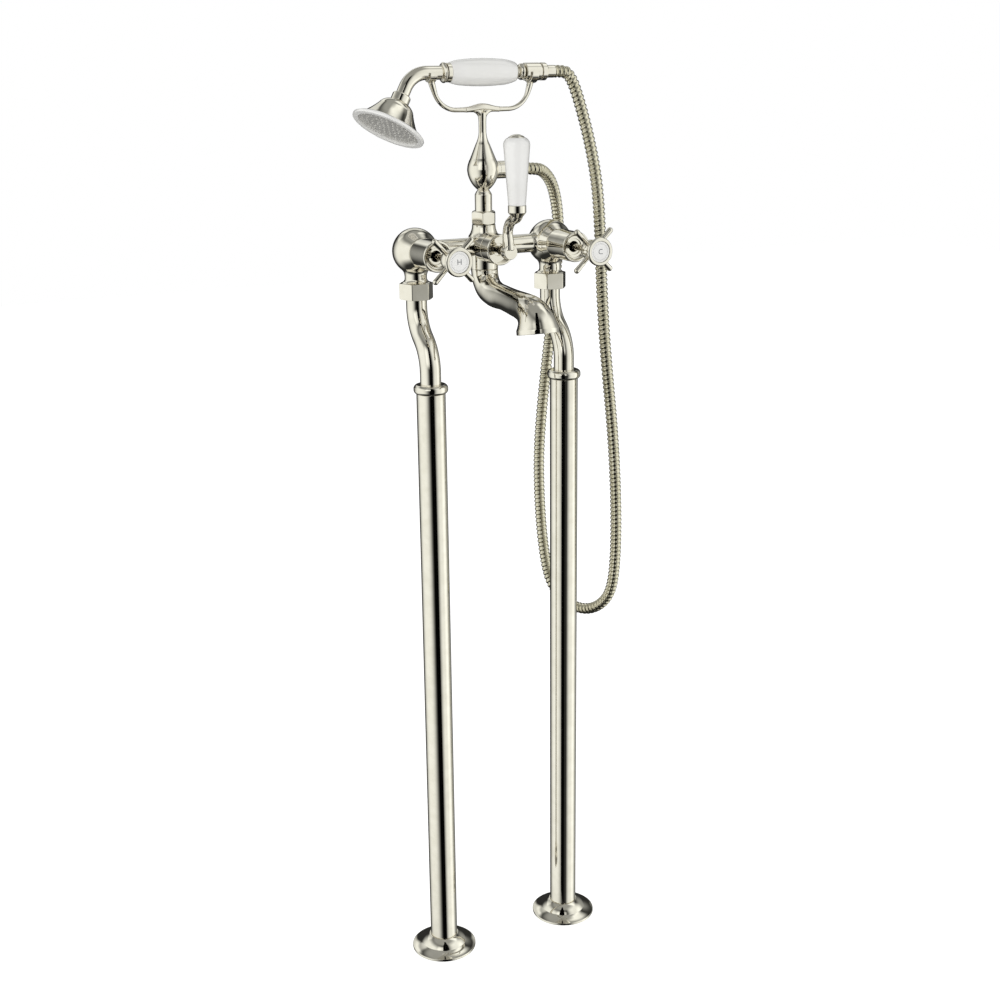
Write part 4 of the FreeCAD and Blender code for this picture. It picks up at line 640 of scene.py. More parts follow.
def makeShroud(
    valve, place, cavity, radius, edge, back, front, dishRadius, dishDepth, stepRadius, innerRadius, step,
    hole, face,
):
    dish = front - dishDepth
    makeNickel(f"valveShroud-{valve}", turned([
        *roundedOutside(cavity, radius, edge, back, front), (dishRadius, front, -50),
        (stepRadius, dish), (stepRadius, dish - step), (innerRadius, dish - step),
        (innerRadius, dish - 2 * step), (hole, dish - 2 * step), (hole, face), (cavity, face),
    ], place, forward))


def makeHandle(
    valve, place, back, length, seat, bore, well, endRadius, waistRadius, crownRadius, crown, spigotRadius,
    spigot, armHeight, armReach, armStart, armRoot, armTip, armAngle, spindleRadius, spindleStart,
):
    front, end, floor = back + length, back + length + spigot, back + seat
    skins = [turned([
        (bore, back), (endRadius, back, 70), (waistRadius, front - 2 * crown, -60),
        (crownRadius, front - crown, 90), (waistRadius, front), (spigotRadius, front),
        (spigotRadius, end), (well, end), (well, floor), (bore, floor),
    ], place, forward)]
    middle = laid(np.array([0, 0, back + armHeight]), place, forward)
    outward = forward @ np.array([0.0, 0.0, 1.0])
    for quarter in range(4):
        angle = math.radians(armAngle + 90 * quarter)
        ahead = forward @ np.array([math.cos(angle), math.sin(angle), 0])
        skins.append(turned([
            (0, armStart), (armRoot, armStart), (armTip, armReach - armTip, 90), (0, armReach),
        ], middle, np.column_stack([outward, np.cross(ahead, outward), ahead]), segments=48))
    makeNickel(f"crossHandle-{valve}", *skins, body=f"{valve}_handle")
    spindle = sleeve(0, spindleRadius, spindleStart, floor, place, forward)
    makeNickel(f"valveSpindle-{valve}", spindle, body=f"{valve}_handle")


# height of a mark over the disc's rim: a parabola, nearly the disc's own arc, and a little lift
def markHeight(flat):
    radius = np.linalg.norm(flat, axis=-1)
    return indexFacts["discCrown"] * (1 - (radius / indexFacts["discRadius"]) ** 2) + marking["lift"]


# ticks between two radii, each a box on the dome; every box is a row of its four corners below and above
def tickSkins(rim, place):
    skins = []
    for angle in wholeTurn(marking["tickCount"]):
        ahead = np.array([math.cos(angle), math.sin(angle)])
        side = np.array([-ahead[1], ahead[0]]) * marking["tickWidth"] / 2
        inside, outside = marking["tickInside"] * ahead, marking["tickOutside"] * ahead
        flat = np.array([inside - side, outside - side, outside + side, inside + side])
        top = laid(np.column_stack([flat, rim + markHeight(flat)]), place, forward)
        below = top - forward @ np.array([0, 0, marking["thickness"]])
        head, tail = (np.repeat(row.mean(axis=0)[None], 4, axis=0) for row in (below, top))
        skins.append(skin(np.stack([head, below, top, tail])))
    return skins


# a letter from Blender's own font as a mesh, laid on the dome
def makeLetter(valve, place, rim):
    data = bpy.data.curves.new(f"letter-{valve}", "FONT")
    data.body = marking["letters"][valve]
    data.size = marking["letterHeight"] / marking["capitals"]
    data.align_x = "CENTER"
    data.align_y = "CENTER"
    data.extrude = marking["thickness"] / 2
    mesh = meshOf(f"letter-{valve}", data)
    points = meshPoints(mesh)
    points[:, 2] += rim + markHeight(points[:, :2]) - data.extrude
    mesh.vertices.foreach_set("co", (laid(points, place, forward) * milli).ravel())
    mesh.materials.clear()
    mesh.materials.append(finish["printedInk"])
    letter = addObject(f"indexLetter-{valve}", mesh)
    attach(letter, f"{valve}_handle")


def makeIndex(valve, place, ringRadius, ringHeight, ringBase, lip, discRadius, discThickness, discCrown):
    body = f"{valve}_handle"
    front = handleFacts["back"] + handleFacts["length"]
    hole, holder = handleFacts["spigotRadius"] + slip, discRadius + slip
    base, top = front + ringBase, front + ringHeight
    makeNickel(f"indexRing-{valve}", turned([
        (hole, front), (handleFacts["crownRadius"], front, -50), (ringRadius, base, 120),
        (holder + lip, top), (holder, top), (holder, base), (hole, base),
    ], place, forward), body=body)
    rim = base + discThickness
    disc = turned([
        (0, base), (discRadius, base), (discRadius, rim, domeTurn(discRadius, discCrown)),
        (0, rim + discCrown),
    ], place, forward, edge=0.6)
    makeGlazed(f"indexDisc-{valve}", disc, body)
    makePiece(f"indexTicks-{valve}", tickSkins(rim, place), finish["printedInk"], body)
    makeLetter(valve, place, rim)


for valve, sign in valves.items():
    valvePlace = (sign * sideX, depth, layout["barHeight"])
    makeShroud(valve, valvePlace, **shroudFacts)
    makeHandle(valve, valvePlace, **handleFacts)
    makeIndex(valve, valvePlace, **indexFacts)
print("handles fitted")

changeoverFacts = {
    "cavity": 13.6, "radius": 18.0, "edge": 1.5, "back": 26.5, "front": 45.7,
    "recessRadius": 15.6, "recess": 6.5, "faceWall": 2.5, "hole": 7.4,
}
leverFacts = {
    "hubRadius": 6.4, "hubStart": 47.7,
    "bossStart": 59.5, "bossLength": 11.4, "bossRadius": 8.7, "bossEdge": 1.0,
    # the crank as (depth, height, lean, radius) rings, leaning towards the front as they rise
    "crank": [
        (-29.5, 913.1, 0, 7.5), (-28.5, 922.85, 0, 6.7), (-27.5, 934.6, -8, 5.9),
        (-32.0, 943.1, -48, 5.9), (-40.0, 948.3, -62, 5.9), (-48.3, 952.3, -38, 7.1),
        (-51.3, 957.8, 0, 7.9),
    ],
    "gripDepth": -51.3,  # of the grip's axis, in front of the legs
    "ferruleBottom": 41.7, "ferruleRadius": 10.5, "ferruleHeight": 12.9, "ferruleCone": 5.0,
    "ferruleRim": 1.0,
    "gripFoot": 10.0, "gripHead": 15.2, "gripLength": 75.2, "gripShoulder": 8.0, "gripTop": 9.7,
    "rodRadius": 2.5, "rodDepth": 9.0, "finialRadius": 9.3, "finialHeight": 3.6, "finialRim": 0.4,
}


def makeChangeover(cavity, radius, edge, back, front, recessRadius, recess, faceWall, hole):
    face = front - recess
    makeNickel("changeoverShroud", turned([
        *roundedOutside(cavity, radius, edge, back, front), (recessRadius, front), (recessRadius, face),
        (hole, face), (hole, face - faceWall), (cavity, face - faceWall),
    ], barMiddle, forward), node="diverter_shroud")


def makeLever(
    hubRadius, hubStart, bossStart, bossLength, bossRadius, bossEdge, crank, ferruleBottom, ferruleRadius,
    ferruleHeight, ferruleCone, ferruleRim, gripFoot, gripHead, gripLength, gripShoulder, gripTop,
    rodRadius, rodDepth, finialRadius, finialHeight, finialRim, gripDepth,
):
    bossEnd = bossStart + bossLength
    boss = turned([
        (0, hubStart), (hubRadius, hubStart), (hubRadius, bossStart),
        (bossRadius - bossEdge, bossStart, 90), (bossRadius, bossStart + bossEdge),
        (bossRadius, bossEnd - bossEdge, 90), (bossRadius - bossEdge, bossEnd), (0, bossEnd),
    ], barMiddle, forward)
    circles = leaningCircles(throughRings(crank, 48))
    arm = cappedSkin(circles, circles.mean(axis=1))
    foot = layout["barHeight"] + ferruleBottom
    top = foot + ferruleHeight
    low, cone = foot - ferruleRim, foot + ferruleCone
    gripAxis = (0, gripDepth, 0)
    ferrule = turned([
        (0, low), (ferruleRadius - ferruleCone, low), (ferruleRadius, cone), (ferruleRadius, top),
        (0, top),
    ], gripAxis)
    makeNickel("leverArm", boss, arm, ferrule, body="changeover")
    end = top + gripLength
    hole = rodRadius + slip
    grip = turned([
        (hole, top), (gripFoot, top), (gripHead, end - gripShoulder, 70), (gripTop, end), (hole, end),
    ], gripAxis, edge=0.8)
    makeGlazed("leverGrip", grip, "changeover")
    makeNickel("leverTieRod", turned([
        (0, top - rodDepth), (rodRadius, top - rodDepth), (rodRadius, end), (finialRadius, end),
        (finialRadius, end + finialRim, domeTurn(finialRadius, finialHeight - finialRim)),
        (0, end + finialHeight),
    ], gripAxis), body="changeover")


makeChangeover(**changeoverFacts)
makeLever(**leverFacts)
print("lever fitted")

spoutFacts = {
    "rootBend": 27.0, "fall": 85.0, "rootDrop": 26.1,
    "rootRadii": (16.3, 16.1, 16.0, 15.8),  # through the first bend
    "run": [(0.4, 14.6), (0.75, 15.3)],  # how far along the slanting run, and the radius there
    # the last bend as (depth, height, lean, radius) rings; the mouth looks a little forward
    "tip": [
        (-66.0, 852.1, 84.0, 16.4), (-82.5, 849.4, 68.0, 18.3), (-94.6, 842.4, 42.0, 20.9),
        (-99.85, 833.97, 10.0, 23.6),
    ],
    "mouthDepth": -101.2, "mouthHeight": 826.1, "mouthLean": 10.0, "mouthRadius": 23.6,
    "rimRadius": 24.7, "rimHeight": 5.0, "rimStart": 8.0, "wall": 2.2,
}
screenFacts = {
    "low": 2.0, "high": 7.0,  # its two faces, from the mouth's plane
    "slack": 0.1,
    "grooves": (4.0, 8.0, 12.0, 16.0), "grooveWidth": 2.0, "grooveDepth": 3.0,
}


# rings from the mouth up to the root: a bend down and forward, a slanting run, and the bend to the mouth
def spoutRings(rootBend, fall, rootDrop, rootRadii, run, tip):
    rootDepth, rootHeight = depth - rootBend, layout["barHeight"] - rootDrop
    nearRoot = []
    for angle, radius in zip(np.linspace(0, fall, len(rootRadii)), rootRadii):
        turn = math.radians(angle)
        place = (rootDepth + rootBend * math.cos(turn), rootHeight - rootBend * math.sin(turn))
        nearRoot.append((*place, angle, radius))
    first, last = np.array(nearRoot[-1]), np.array(tip[0])
    between = [(*(first + (last - first) * share)[:2], fall, radius) for share, radius in run]
    return throughRings((nearRoot + between + tip)[::-1], 90)


# the rim is turned about the mouth's own axis, which leans back as it rises
def makeSpout(
    mouthDepth, mouthHeight, mouthLean, mouthRadius, rimRadius, rimHeight, rimStart, wall, **course,
):
    outside = spoutRings(**course)
    inside = outside.copy()
    inside[:, 3] -= wall
    lean = math.radians(mouthLean)
    rim = outline([
        (mouthRadius - wall, rimStart), (mouthRadius - wall, 0), (rimRadius, 0), (rimRadius, rimHeight),
        (mouthRadius, rimStart),
    ], edge=0.7, closed=False)
    rimRings = np.column_stack([
        mouthDepth + rim[:, 1] * math.sin(lean), mouthHeight + rim[:, 1] * math.cos(lean),
        np.full(len(rim), mouthLean), rim[:, 0],
    ])
    rows = leaningCircles(np.concatenate([rimRings[:-1], outside, inside[::-1][:-1]]))
    makeNickel("spoutShell", skin(rows, ring=True), node="spout")


# the flow straightener: a disc with round grooves, square to the mouth's own axis
def makeScreen(low, high, slack, grooves, grooveWidth, grooveDepth):
    edge = spoutFacts["mouthRadius"] - spoutFacts["wall"] - slack
    corners = [(0, low)]
    for groove in grooves:
        near, far = groove - grooveWidth / 2, groove + grooveWidth / 2
        corners += [(near, low), (near, low + grooveDepth), (far, low + grooveDepth), (far, low)]
    corners += [(edge, low), (edge, high), (0, high)]
    place = (0, spoutFacts["mouthDepth"], spoutFacts["mouthHeight"])
    screen = turned(corners, place, turnAbout("X", -spoutFacts["mouthLean"]), edge=0.2)
    makePiece("spoutScreen", [screen], finish["satinPlate"], "body", ["spout_straightener"])


makeSpout(**spoutFacts)
makeScreen(**screenFacts)
print("spout drawn")

riserFacts = {
    "radius": 10.2, "bore": 6.0, "seat": 15.9, "shoulder": 60.9, "top": 66.5, "topRadius": 6.8,
}
riserNutFacts = {
    "bottom": 937.0, "bore": riserFacts["radius"] + slip, "radius": 15.65, "height": 16.0, "chamfer": 3.2,
    "slope": 0.8, "vertexAt": 0.0,
}
bulbFacts = {
    "foot": 6.8, "belly": 22.9, "bellyRadius": 18.8, "upper": 36.0, "upperRadius": 15.2,
    "neck": 53.0, "neckRadius": 8.2, "stemStart": 66.5, "stemRadius": 4.5, "stemTop": 84.0,
    "outletHeight": 22.4, "outletRadius": 10.2, "outletReach": 19.5,
}
forkFacts = {
    "height": 92.1,
    "radius": 3.1,
    "thinning": 0.5,  # of the arms, from the stem on
    "cornerStart": 33.8, "bend": 28.1, "lean": 72.6,
    "stemRadius": 4.5, "stemFlare": 0.6, "stemShoulder": 4.0,
    "root": 6.0,  # how far the fork's stem goes down into the bulb's
    "teeWidth": 22.0, "teeFillet": 13.0, "teeTail": 8.0, "teeThinning": 0.6,
    "humpRise": 2.6, "humpSwell": 1.2, "humpPoints": 60,
}
saddleFacts = {
    "rise": 41.7, "place": 65.0, "length": 9.0, "wall": 2.4, "swell": 1.2,
    "bite": 0.7,  # share of the wall that the arm goes into
    "left": 7.75, "right": 10.2,  # radius inside
}


def makeRiser(radius, bore, seat, shoulder, top, topRadius):
    tube = turned([
        (bore, seat), (radius, seat), (radius, shoulder, 20), (topRadius, top), (bore, top),
    ], barMiddle)
    makeNickel("riserTube", tube)
    makeNickel("riserNut", hexagonNut(0, **riserNutFacts))


def makeBulb(
    foot, belly, bellyRadius, upper, upperRadius, neck, neckRadius, stemStart, stemRadius, stemTop,
    outletHeight, outletRadius, outletReach,
):
    base = layout["bulbFoot"]
    form = turned([
        (0, 0), (foot, 0, 48), (bellyRadius, belly, 28), (upperRadius, upper), (neckRadius, neck, -26),
        (stemRadius, stemStart), (stemRadius, stemTop), (0, stemTop),
    ], (0, depth, base), edge=1.2)
    outlet = sleeve(0, outletRadius, 0, outletReach, (0, depth, base + outletHeight), rightward)
    makeNickel("cradleBulb", form, outlet)


# half a ring under the grip: a rounded rectangle carried through a half turn, its two ends closed
def saddleSkin(place, inner):
    outer, reach = inner + saddleFacts["wall"], saddleFacts["length"] / 2
    near, far = place - reach, place + reach
    section = outline([(inner, near), (outer, near), (outer, far), (inner, far)], 0.6)
    middle = np.array([(inner + outer) / 2, place])
    between = np.linspace(-88, 88, 40)
    angle = np.radians(np.concatenate([[-90] * 3, between, [90] * 3]))[:, None]
    closing = [0, 0.75, 0.95]
    scale = np.concatenate([closing, np.ones(len(between)), closing[::-1]])[:, None, None]
    sections = middle + (section - middle) * scale
    radius, along = sections[..., 0], sections[..., 1]
    height = layout["gripHeight"] - radius * np.cos(angle)
    return skin(np.stack([along, depth + radius * np.sin(angle), height], axis=-1))


# two rods leave the stem together and bend out under the arms; a third, with a low hump, joins the arms
def makeFork(
    height, radius, thinning, cornerStart, bend, lean, stemRadius, stemFlare, stemShoulder, root, teeWidth,
    teeFillet, teeTail, teeThinning, humpRise, humpSwell, humpPoints,
):
    base = layout["bulbFoot"]
    place, top = (0, depth, base), (0, depth, base + height)
    frontward, up = (0, -1, 0), (0, 0, 1)
    low = bulbFacts["stemTop"] - root
    skins = [turned([
        (0, low), (stemRadius, low), (stemRadius + stemFlare, height - stemShoulder), (0, height),
    ], place)]
    across = np.linspace(-teeWidth, teeWidth, humpPoints)
    hump = 1 - smooth(np.abs(across) / teeWidth)
    line = np.column_stack([across, np.full(humpPoints, depth), base + height + humpRise * hump])
    skins.append(rodAlong(line, radius + humpSwell * hump, frontward))
    tilt = math.radians(lean)
    for side, sign in sides.items():
        inner = saddleFacts[side] + gap
        turnX, turnZ = cornerStart + bend * math.sin(tilt), bend * (1 - math.cos(tilt))
        endZ = saddleFacts["rise"] - inner - saddleFacts["wall"] * saddleFacts["bite"]
        endX = turnX + (endZ - turnZ) / math.tan(tilt)
        out = (sign, 0, 0)
        line = flatPath([(0, 0), (cornerStart, 0, lean), (turnX, turnZ), (endX, endZ)], top, out, up)
        share = np.linspace(0, 1, len(line))
        widths = radius - thinning * smooth(share * 2) + saddleFacts["swell"] * smooth(share * 4 - 3)
        skins.append(rodAlong(line, widths, frontward))
        line = flatPath([
            (0, height - teeFillet - teeTail), (0, height - teeFillet, -90), (teeFillet, height),
            (teeWidth, height),
        ], place, out, up, spacing=0.7)
        share = smooth(np.linspace(0, 1, len(line)))
        skins.append(rodAlong(line, stemRadius + (radius - teeThinning - stemRadius) * share, frontward))
        skins.append(saddleSkin(sign * saddleFacts["place"], inner))
    makeNickel("cradleFork", *skins)


makeRiser(**riserFacts)
makeBulb(**bulbFacts)
makeFork(**forkFacts)
print("cradle raised")

# each one's body, bore, radius, start and end to the right of the middle, and chamfer at its end
fittingFacts = {
    "hoseOutlet": ("body", 3.2, 10.2, 19.5, 29.2, 0),
    "hoseNut-lower": ("body", 6.6, 10.25, 29.2, 40.7, 1.6),
    "hoseFerrule-lower": ("body", 4.2, 7.25, 40.7, 48.0, 0),
    "hoseNut-upper": ("handset", 4.2, 10.25, 76.8, 84.3, 1.6),
    "hoseFerrule-upper": ("handset", 4.2, 7.25, 84.3, 94.8, 0),
}


def makeFitting(name, body, inner, outer, start, end, chamfer):
    low = layout["bulbFoot"] + bulbFacts["outletHeight"]
    place = gripMiddle if body == "handset" else (0, depth, low)
    tail = [(outer, end - chamfer), (outer - chamfer, end)] if chamfer else [(outer, end)]
    fitting = turned([(inner, start), (outer, start), *tail, (inner, end)], place, rightward)
    return makeNickel(name, fitting, body=body)


hoseFittings = [makeFitting(name, *facts) for name, facts in fittingFacts.items()][1:]
print("hose fittings screwed on")

makeHose(hoseFacts, hoseFittings)
print("hose laid")

gripFacts = {
    "left": 41.2, "right": 41.9, "leftRadius": 11.4, "middleRadius": 15.7, "rightRadius": 11.2,
    "shoulder": 27.0,  # from the middle, where the grip's round ends meet its long flat arc
    "shoulderRadius": 14.5, "shoulderTurn": 14.0,
    "bore": 3.75, "neckRadius": 7.75,
    "ringRadius": 11.7, "ringStart": 51.7, "ringLength": 5.6, "bandRadius": 10.8,
    "capRadius": 11.2, "capLength": 3.4,
    "beadNeck": 4.9, "beadNeckLength": 2.2, "beadRadius": 9.5, "beadLength": 7.9,
    "barrelBore": 2.6, "barrelRadius": 10.2, "barrelLength": 19.7, "grooveRadius": 8.8, "groove": 1.7,
}
roseAim = {"roll": 9.4, "tilt": 29.63, "reach": 124.2, "drop": 62.3}  # its face, from the grip's middle
neckBend = 32.0
roseFacts = {
    "crown": 34.4, "crownRadius": 9.4, "throat": 4.6, "shoulder": 25.2, "shoulderRadius": 21.2,
    "foot": 5.6, "footRadius": 35.4, "wall": 1.8,
    "nutRadius": 10.8, "nutHeight": 9.6, "nutChamfer": 1.6,
    "ringRadius": 43.05, "innerRadius": 36.4, "recess": 2.8, "plateThickness": 2.0,
}
nozzleFacts = {
    "rings": {0.0: 1, 6.6: 6, 13.2: 12, 19.8: 18, 26.4: 24, 32.6: 30},  # how many stand at each radius
    "radius": 1.25, "taper": 0.3, "height": 0.9, "sunk": 0.2, "hole": 0.5, "holeFloor": 0.1,
}


def makeGrip(
    left, right, leftRadius, middleRadius, rightRadius, shoulder, shoulderRadius, shoulderTurn, bore,
    neckRadius, ringRadius, ringStart, ringLength, bandRadius, capRadius, capLength, beadNeck,
    beadNeckLength, beadRadius, beadLength, barrelBore, barrelRadius, barrelLength, grooveRadius, groove,
):
    crown = domeTurn(shoulder, middleRadius - shoulderRadius)
    grip = turned([
        (bore, -left), (leftRadius, -left, shoulderTurn), (shoulderRadius, -shoulder, crown),
        (middleRadius, 0, crown), (shoulderRadius, shoulder, shoulderTurn), (rightRadius, right),
        (bore, right),
    ], gripMiddle, rightward, edge=0.6)
    makeGlazed("handsetGrip", grip, "handset")
    start, ringEnd = -ringStart, ringLength - ringStart
    makeNickel("gripCollar", turned([
        (bore, start), (neckRadius, start, 70), (ringRadius, start + ringLength / 2, 70),
        (neckRadius, ringEnd), (bandRadius, ringEnd), (bandRadius, -left), (bore, -left),
    ], gripMiddle, rightward), body="handset")
    cap = right + capLength
    neck = cap + beadNeckLength
    end = neck + beadLength
    makeNickel("gripBead", turned([
        (bore, right), (capRadius, right, 60), (beadNeck, cap), (beadNeck, neck, 80),
        (beadRadius, neck + beadLength / 2, 80), (beadNeck, end), (bore, end),
    ], gripMiddle, rightward), body="handset")
    ledge = end + barrelLength
    makeNickel("handsetBarrel", turned([
        (barrelBore, end), (barrelRadius, end), (barrelRadius, ledge), (grooveRadius, ledge),
        (grooveRadius, ledge + groove), (barrelBore, ledge + groove),
    ], gripMiddle, rightward, edge=0.8), body="handset")


# the rose's own frame: its face's middle, and the turns that lay its axis along Z
def roseFrame(roll, tilt, reach, drop):
    sideways, down = math.sin(math.radians(roll)), math.cos(math.radians(roll))
    centre = np.array([-reach, depth - drop * sideways, layout["gripHeight"] - drop * down])
    return centre, turnAbout("X", -roll) @ turnAbout("Y", tilt)


roseCentre, roseAxes = roseFrame(**roseAim)


def makeNeck(roll, tilt, reach, drop):
    lean, swing = math.radians(roll), math.radians(tilt)
    start = gripFacts["ringStart"]
    corner = reach - drop * math.tan(swing) - start
    cut = neckBend * math.tan(math.radians(90 - tilt) / 2)
    length = drop / math.cos(swing) - roseFacts["crown"] - gap
    outward, down = (-1, 0, 0), (0, -math.sin(lean), -math.cos(lean))
    line = flatPath([
        (0, 0), (corner - cut, 0, 90 - tilt), (corner + cut * math.sin(swing), cut * math.cos(swing)),
        (corner + length * math.sin(swing), length * math.cos(swing)),
    ], (-start, depth, layout["gripHeight"]), outward, down)
    pipe = rodAlong(line, gripFacts["neckRadius"], np.cross(outward, down), segments=72)
    makeNickel("handsetNeck", pipe, body="handset")


def makeRose(
    crown, crownRadius, throat, shoulder, shoulderRadius, foot, footRadius, wall, nutRadius, nutHeight,
    nutChamfer, ringRadius, innerRadius, recess, plateThickness,
):
    nutTop, hole = crown + nutHeight, gripFacts["neckRadius"] + slip
    makeNickel("roseNut", turned([
        (hole, crown), (nutRadius, crown), (nutRadius, nutTop - nutChamfer, 40),
        (nutRadius - nutChamfer, nutTop), (hole, nutTop),
    ], roseCentre, roseAxes), body="handset")
    makeNickel("roseBell", turned([
        (footRadius - wall, foot), (footRadius, foot, -14), (shoulderRadius, shoulder, 62),
        (crownRadius, crown), (throat, crown), (throat, crown - wall), (crownRadius, crown - wall, -62),
        (shoulderRadius - wall, shoulder - wall / 2),
    ], roseCentre, roseAxes), body="handset")
    lip, ledge, inside = foot / 4, recess + plateThickness, footRadius - 2 * wall
    ring = turned([
        (innerRadius, 0), (ringRadius - lip, 0, 90), (ringRadius, lip), (ringRadius, 2 * lip, 30),
        (footRadius + lip, foot), (inside, foot), (inside, ledge), (innerRadius, ledge),
    ], roseCentre, roseAxes, edge=0.5)
    makeGlazed("roseRing", ring, "handset")


# the plate, and a small turned nozzle at each place on its rings
def makePlate(rings, radius, taper, height, sunk, hole, holeFloor):
    face = roseFacts["recess"]
    back = face + roseFacts["plateThickness"]
    skins = [sleeve(0, roseFacts["innerRadius"] - slip, face, back, roseCentre, roseAxes)]
    nozzle = [
        (0, face - holeFloor), (hole, face - holeFloor), (hole, face - height),
        (radius - taper, face - height), (radius, face + sunk), (0, face + sunk),
    ]
    for ring, count in rings.items():
        for angle in wholeTurn(count):
            spoke = np.array([ring * math.cos(angle), ring * math.sin(angle), 0])
            spot = laid(spoke, roseCentre, roseAxes)
            skins.append(turned(nozzle, spot, roseAxes, edge=0.12, segments=14))
    makePiece("rosePlate", skins, finish["satinPlate"], "handset", ["rose_plate"])


makeGrip(**gripFacts)
makeNeck(**roseAim)
makeRose(**roseFacts)
makePlate(**nozzleFacts)
print("handset laid in its cradle")

# lengths in metres from here on
studio = {
    "floorHalf": 6.0,
    "plain": 0.60,  # light from all round, on anything but polished metal
    "floorGlow": 0.68,  # what the camera sees of the floor above its own light
    "floorBounce": 0.34,  # and what it sends up to the undersides
    "room": 0.03,  # grey of the walls between the light panels
    "tint": (0.985, 1.0, 0.955),
    # panels, in degrees: middle and half width round the object, lowest, highest, softness; brightness
    "panels": [
        (-101, 39, -44, 44, 34, 1.04),
        (-34, 22, 4, 44, 14, 0.85),
        (47, 31, -44, 56, 24, 1.0),
        (88, 24, -40, 30, 26, 0.35),
        (100, 26, 46, 72, 14, 0.8),
        (162, 24, 20, 46, 8, 0.75),
        (-160, 20, 24, 46, 8, 0.45),
    ],
    "zenith": (54, 16, 0.34),  # height where the room turns brighter, over how many degrees, by how much
    # a black card before the object, as (sideways, height) corners round its foot, that only
    # reflections show
    "cardFoot": (-0.200, -0.450),
    "card": [
        (-0.14, -0.3), (0.125, -0.3), (0.125, 0.70), (0.09, 0.90), (0.09, 1.9), (-0.10, 1.9),
        (-0.10, 0.90), (-0.14, 0.70),
    ],
    "lamps": {"keyLamp": ((-2.2, -1.6, 2.2), 24.0), "fillLamp": ((2.0, -1.8, 1.6), 6.0)},
    "lampAim": (0, 0, 0.7),
    "lampWidth": 1.6,
}


# nodes that work out numbers: every call adds one and returns what comes out of it
def makeCalculator(tree):
    def calculate(operation, *values):
        node = tree.nodes.new("ShaderNodeMath")
        node.operation = operation
        return feed(tree, node, dict(enumerate(values))).outputs[0]

    return calculate


# rises smoothly from 0 to 1 while the value goes from low to high
def makeRise(tree, value, low, high):
    node = tree.nodes.new("ShaderNodeMapRange")
    node.interpolation_type = "SMOOTHSTEP"
    return feed(tree, node, {"Value": value, "From Min": low, "From Max": high}).outputs["Result"]


# the sine of an angle in degrees, a little before it and a little after it
def edgesAt(angle, soft):
    return [math.sin(math.radians(angle + side * soft / 2)) for side in (-1, 1)]


# brightness of the room in a direction: each panel is a window in the angle round, times one in the
# height
def makeRoomLevel(tree, across, deep, height):
    calculate = makeCalculator(tree)
    total = studio["room"]
    for middle, half, lowest, highest, soft, level in studio["panels"]:
        turn = math.radians(middle)
        facing = calculate("MULTIPLY", across, math.sin(turn))
        facing = calculate("ADD", facing, calculate("MULTIPLY", deep, -math.cos(turn)))
        edges = [math.cos(math.radians(half + side * soft)) for side in (0.9, -0.9)]
        window = makeRise(tree, facing, *edges)
        for edges in (edgesAt(highest, soft)[::-1], edgesAt(lowest, soft)):
            window = calculate("MULTIPLY", window, makeRise(tree, height, *edges))
        total = calculate("ADD", total, calculate("MULTIPLY", window, level))
    return total


# only polished metal sees the panels: the camera sees white, and everything else gets plain light
def makeWorld():
    world = bpy.data.worlds.new("studioRoom")
    bpy.context.scene.world = world
    world.use_nodes = True
    tree = world.node_tree
    new = tree.nodes.new
    tree.nodes.clear()
    calculate = makeCalculator(tree)
    direction = new("ShaderNodeTexCoord").outputs["Generated"]
    across, deep, high = feed(tree, new("ShaderNodeSeparateXYZ"), {0: direction}).outputs
    squares = [calculate("MULTIPLY", part, part) for part in (across, deep)]
    flat = calculate("MAXIMUM", calculate("SQRT", calculate("ADD", *squares)), 0.02)
    room = makeRoomLevel(tree, calculate("DIVIDE", across, flat), calculate("DIVIDE", deep, flat), high)
    start, soft, lift = studio["zenith"]
    rise = makeRise(tree, high, *edgesAt(start, soft))
    room = calculate("ADD", room, calculate("MULTIPLY", rise, lift))
    white = (1, 1, 1, 1)
    plain, panels, blank = (
        feed(tree, new("ShaderNodeBackground"), {"Color": colour, "Strength": strength}).outputs[0]
        for colour, strength in ((white, studio["plain"]), ((*studio["tint"], 1), room), (white, 1.0))
    )
    seen = new("ShaderNodeLightPath").outputs
    mixed = plain
    for ray, background in (("Is Glossy Ray", panels), ("Is Camera Ray", blank)):
        mixed = feed(tree, new("ShaderNodeMixShader"), {0: seen[ray], 1: mixed, 2: background}).outputs[0]
    feed(tree, new("ShaderNodeOutputWorld"), {"Surface": mixed})


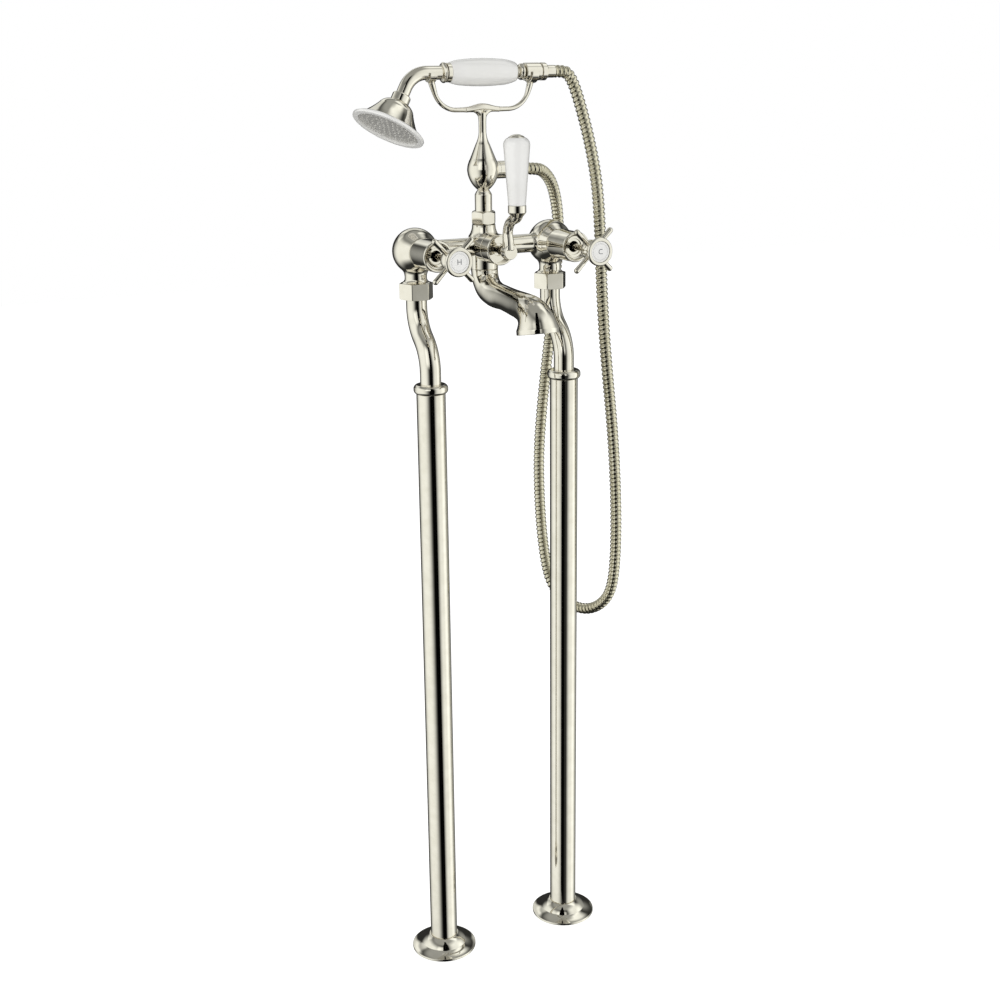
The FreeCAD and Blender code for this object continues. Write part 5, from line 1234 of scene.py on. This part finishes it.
def makeStagePlane(name, corners, material):
    mesh = bpy.data.meshes.new(name)
    mesh.from_pydata(corners, [], [tuple(range(len(corners)))])
    mesh.materials.append(material)
    plane = addObject(name, mesh)
    return plane


# a matt material, with what else its shader is given
def makeMatt(name, colour, roughness):
    material = bpy.data.materials.new(name)
    material.use_nodes = True
    feed(material.node_tree, material.node_tree.nodes["Principled BSDF"], {
        "Base Color": (*colour, 1), "Roughness": roughness, "Specular IOR Level": 0.0,
    })
    return material


# a wide pale floor, white to the camera where no shadow falls; polished metal sees the room's own
# light instead
def makeFloor():
    half = studio["floorHalf"]
    material = makeMatt("paleFloor", (0.80, 0.80, 0.79), 0.9)
    tree = material.node_tree
    calculate = makeCalculator(tree)
    seen = tree.nodes.new("ShaderNodeLightPath").outputs["Is Camera Ray"]
    extra = calculate("MULTIPLY", seen, studio["floorGlow"] - studio["floorBounce"])
    glow = calculate("ADD", extra, studio["floorBounce"])
    feed(tree, tree.nodes["Principled BSDF"], {"Emission Color": (1, 1, 1, 1), "Emission Strength": glow})
    corners = [(-half, -half, 0), (half, -half, 0), (half, half, 0), (-half, half, 0)]
    makeStagePlane("studioFloor", corners, material).visible_glossy = False


# a black card that only reflections show
def makeCard():
    foot = np.array(studio["cardFoot"])
    across = np.array([-foot[1], foot[0]]) / np.linalg.norm(foot)
    corners = [(*(foot + across * side), up) for side, up in studio["card"]]
    card = makeStagePlane("blackCard", corners, makeMatt("blackCard", (0.002, 0.002, 0.002), 1.0))
    card.visible_camera = False
    card.visible_diffuse = False
    card.visible_shadow = False
    card.visible_transmission = False


def makeLamp(name, place, power):
    data = bpy.data.lights.new(name, "AREA")
    data.shape = "SQUARE"
    data.size = studio["lampWidth"]
    data.energy = power
    lamp = addObject(name, data)
    lamp.location = place
    lamp.rotation_euler = (Vector(studio["lampAim"]) - Vector(place)).to_track_quat("-Z", "Y").to_euler()
    lamp.visible_glossy = False
    lamp.visible_camera = False


makeWorld()
makeFloor()
makeCard()
for name, (place, power) in studio["lamps"].items():
    makeLamp(name, place, power)
print("studio lit")
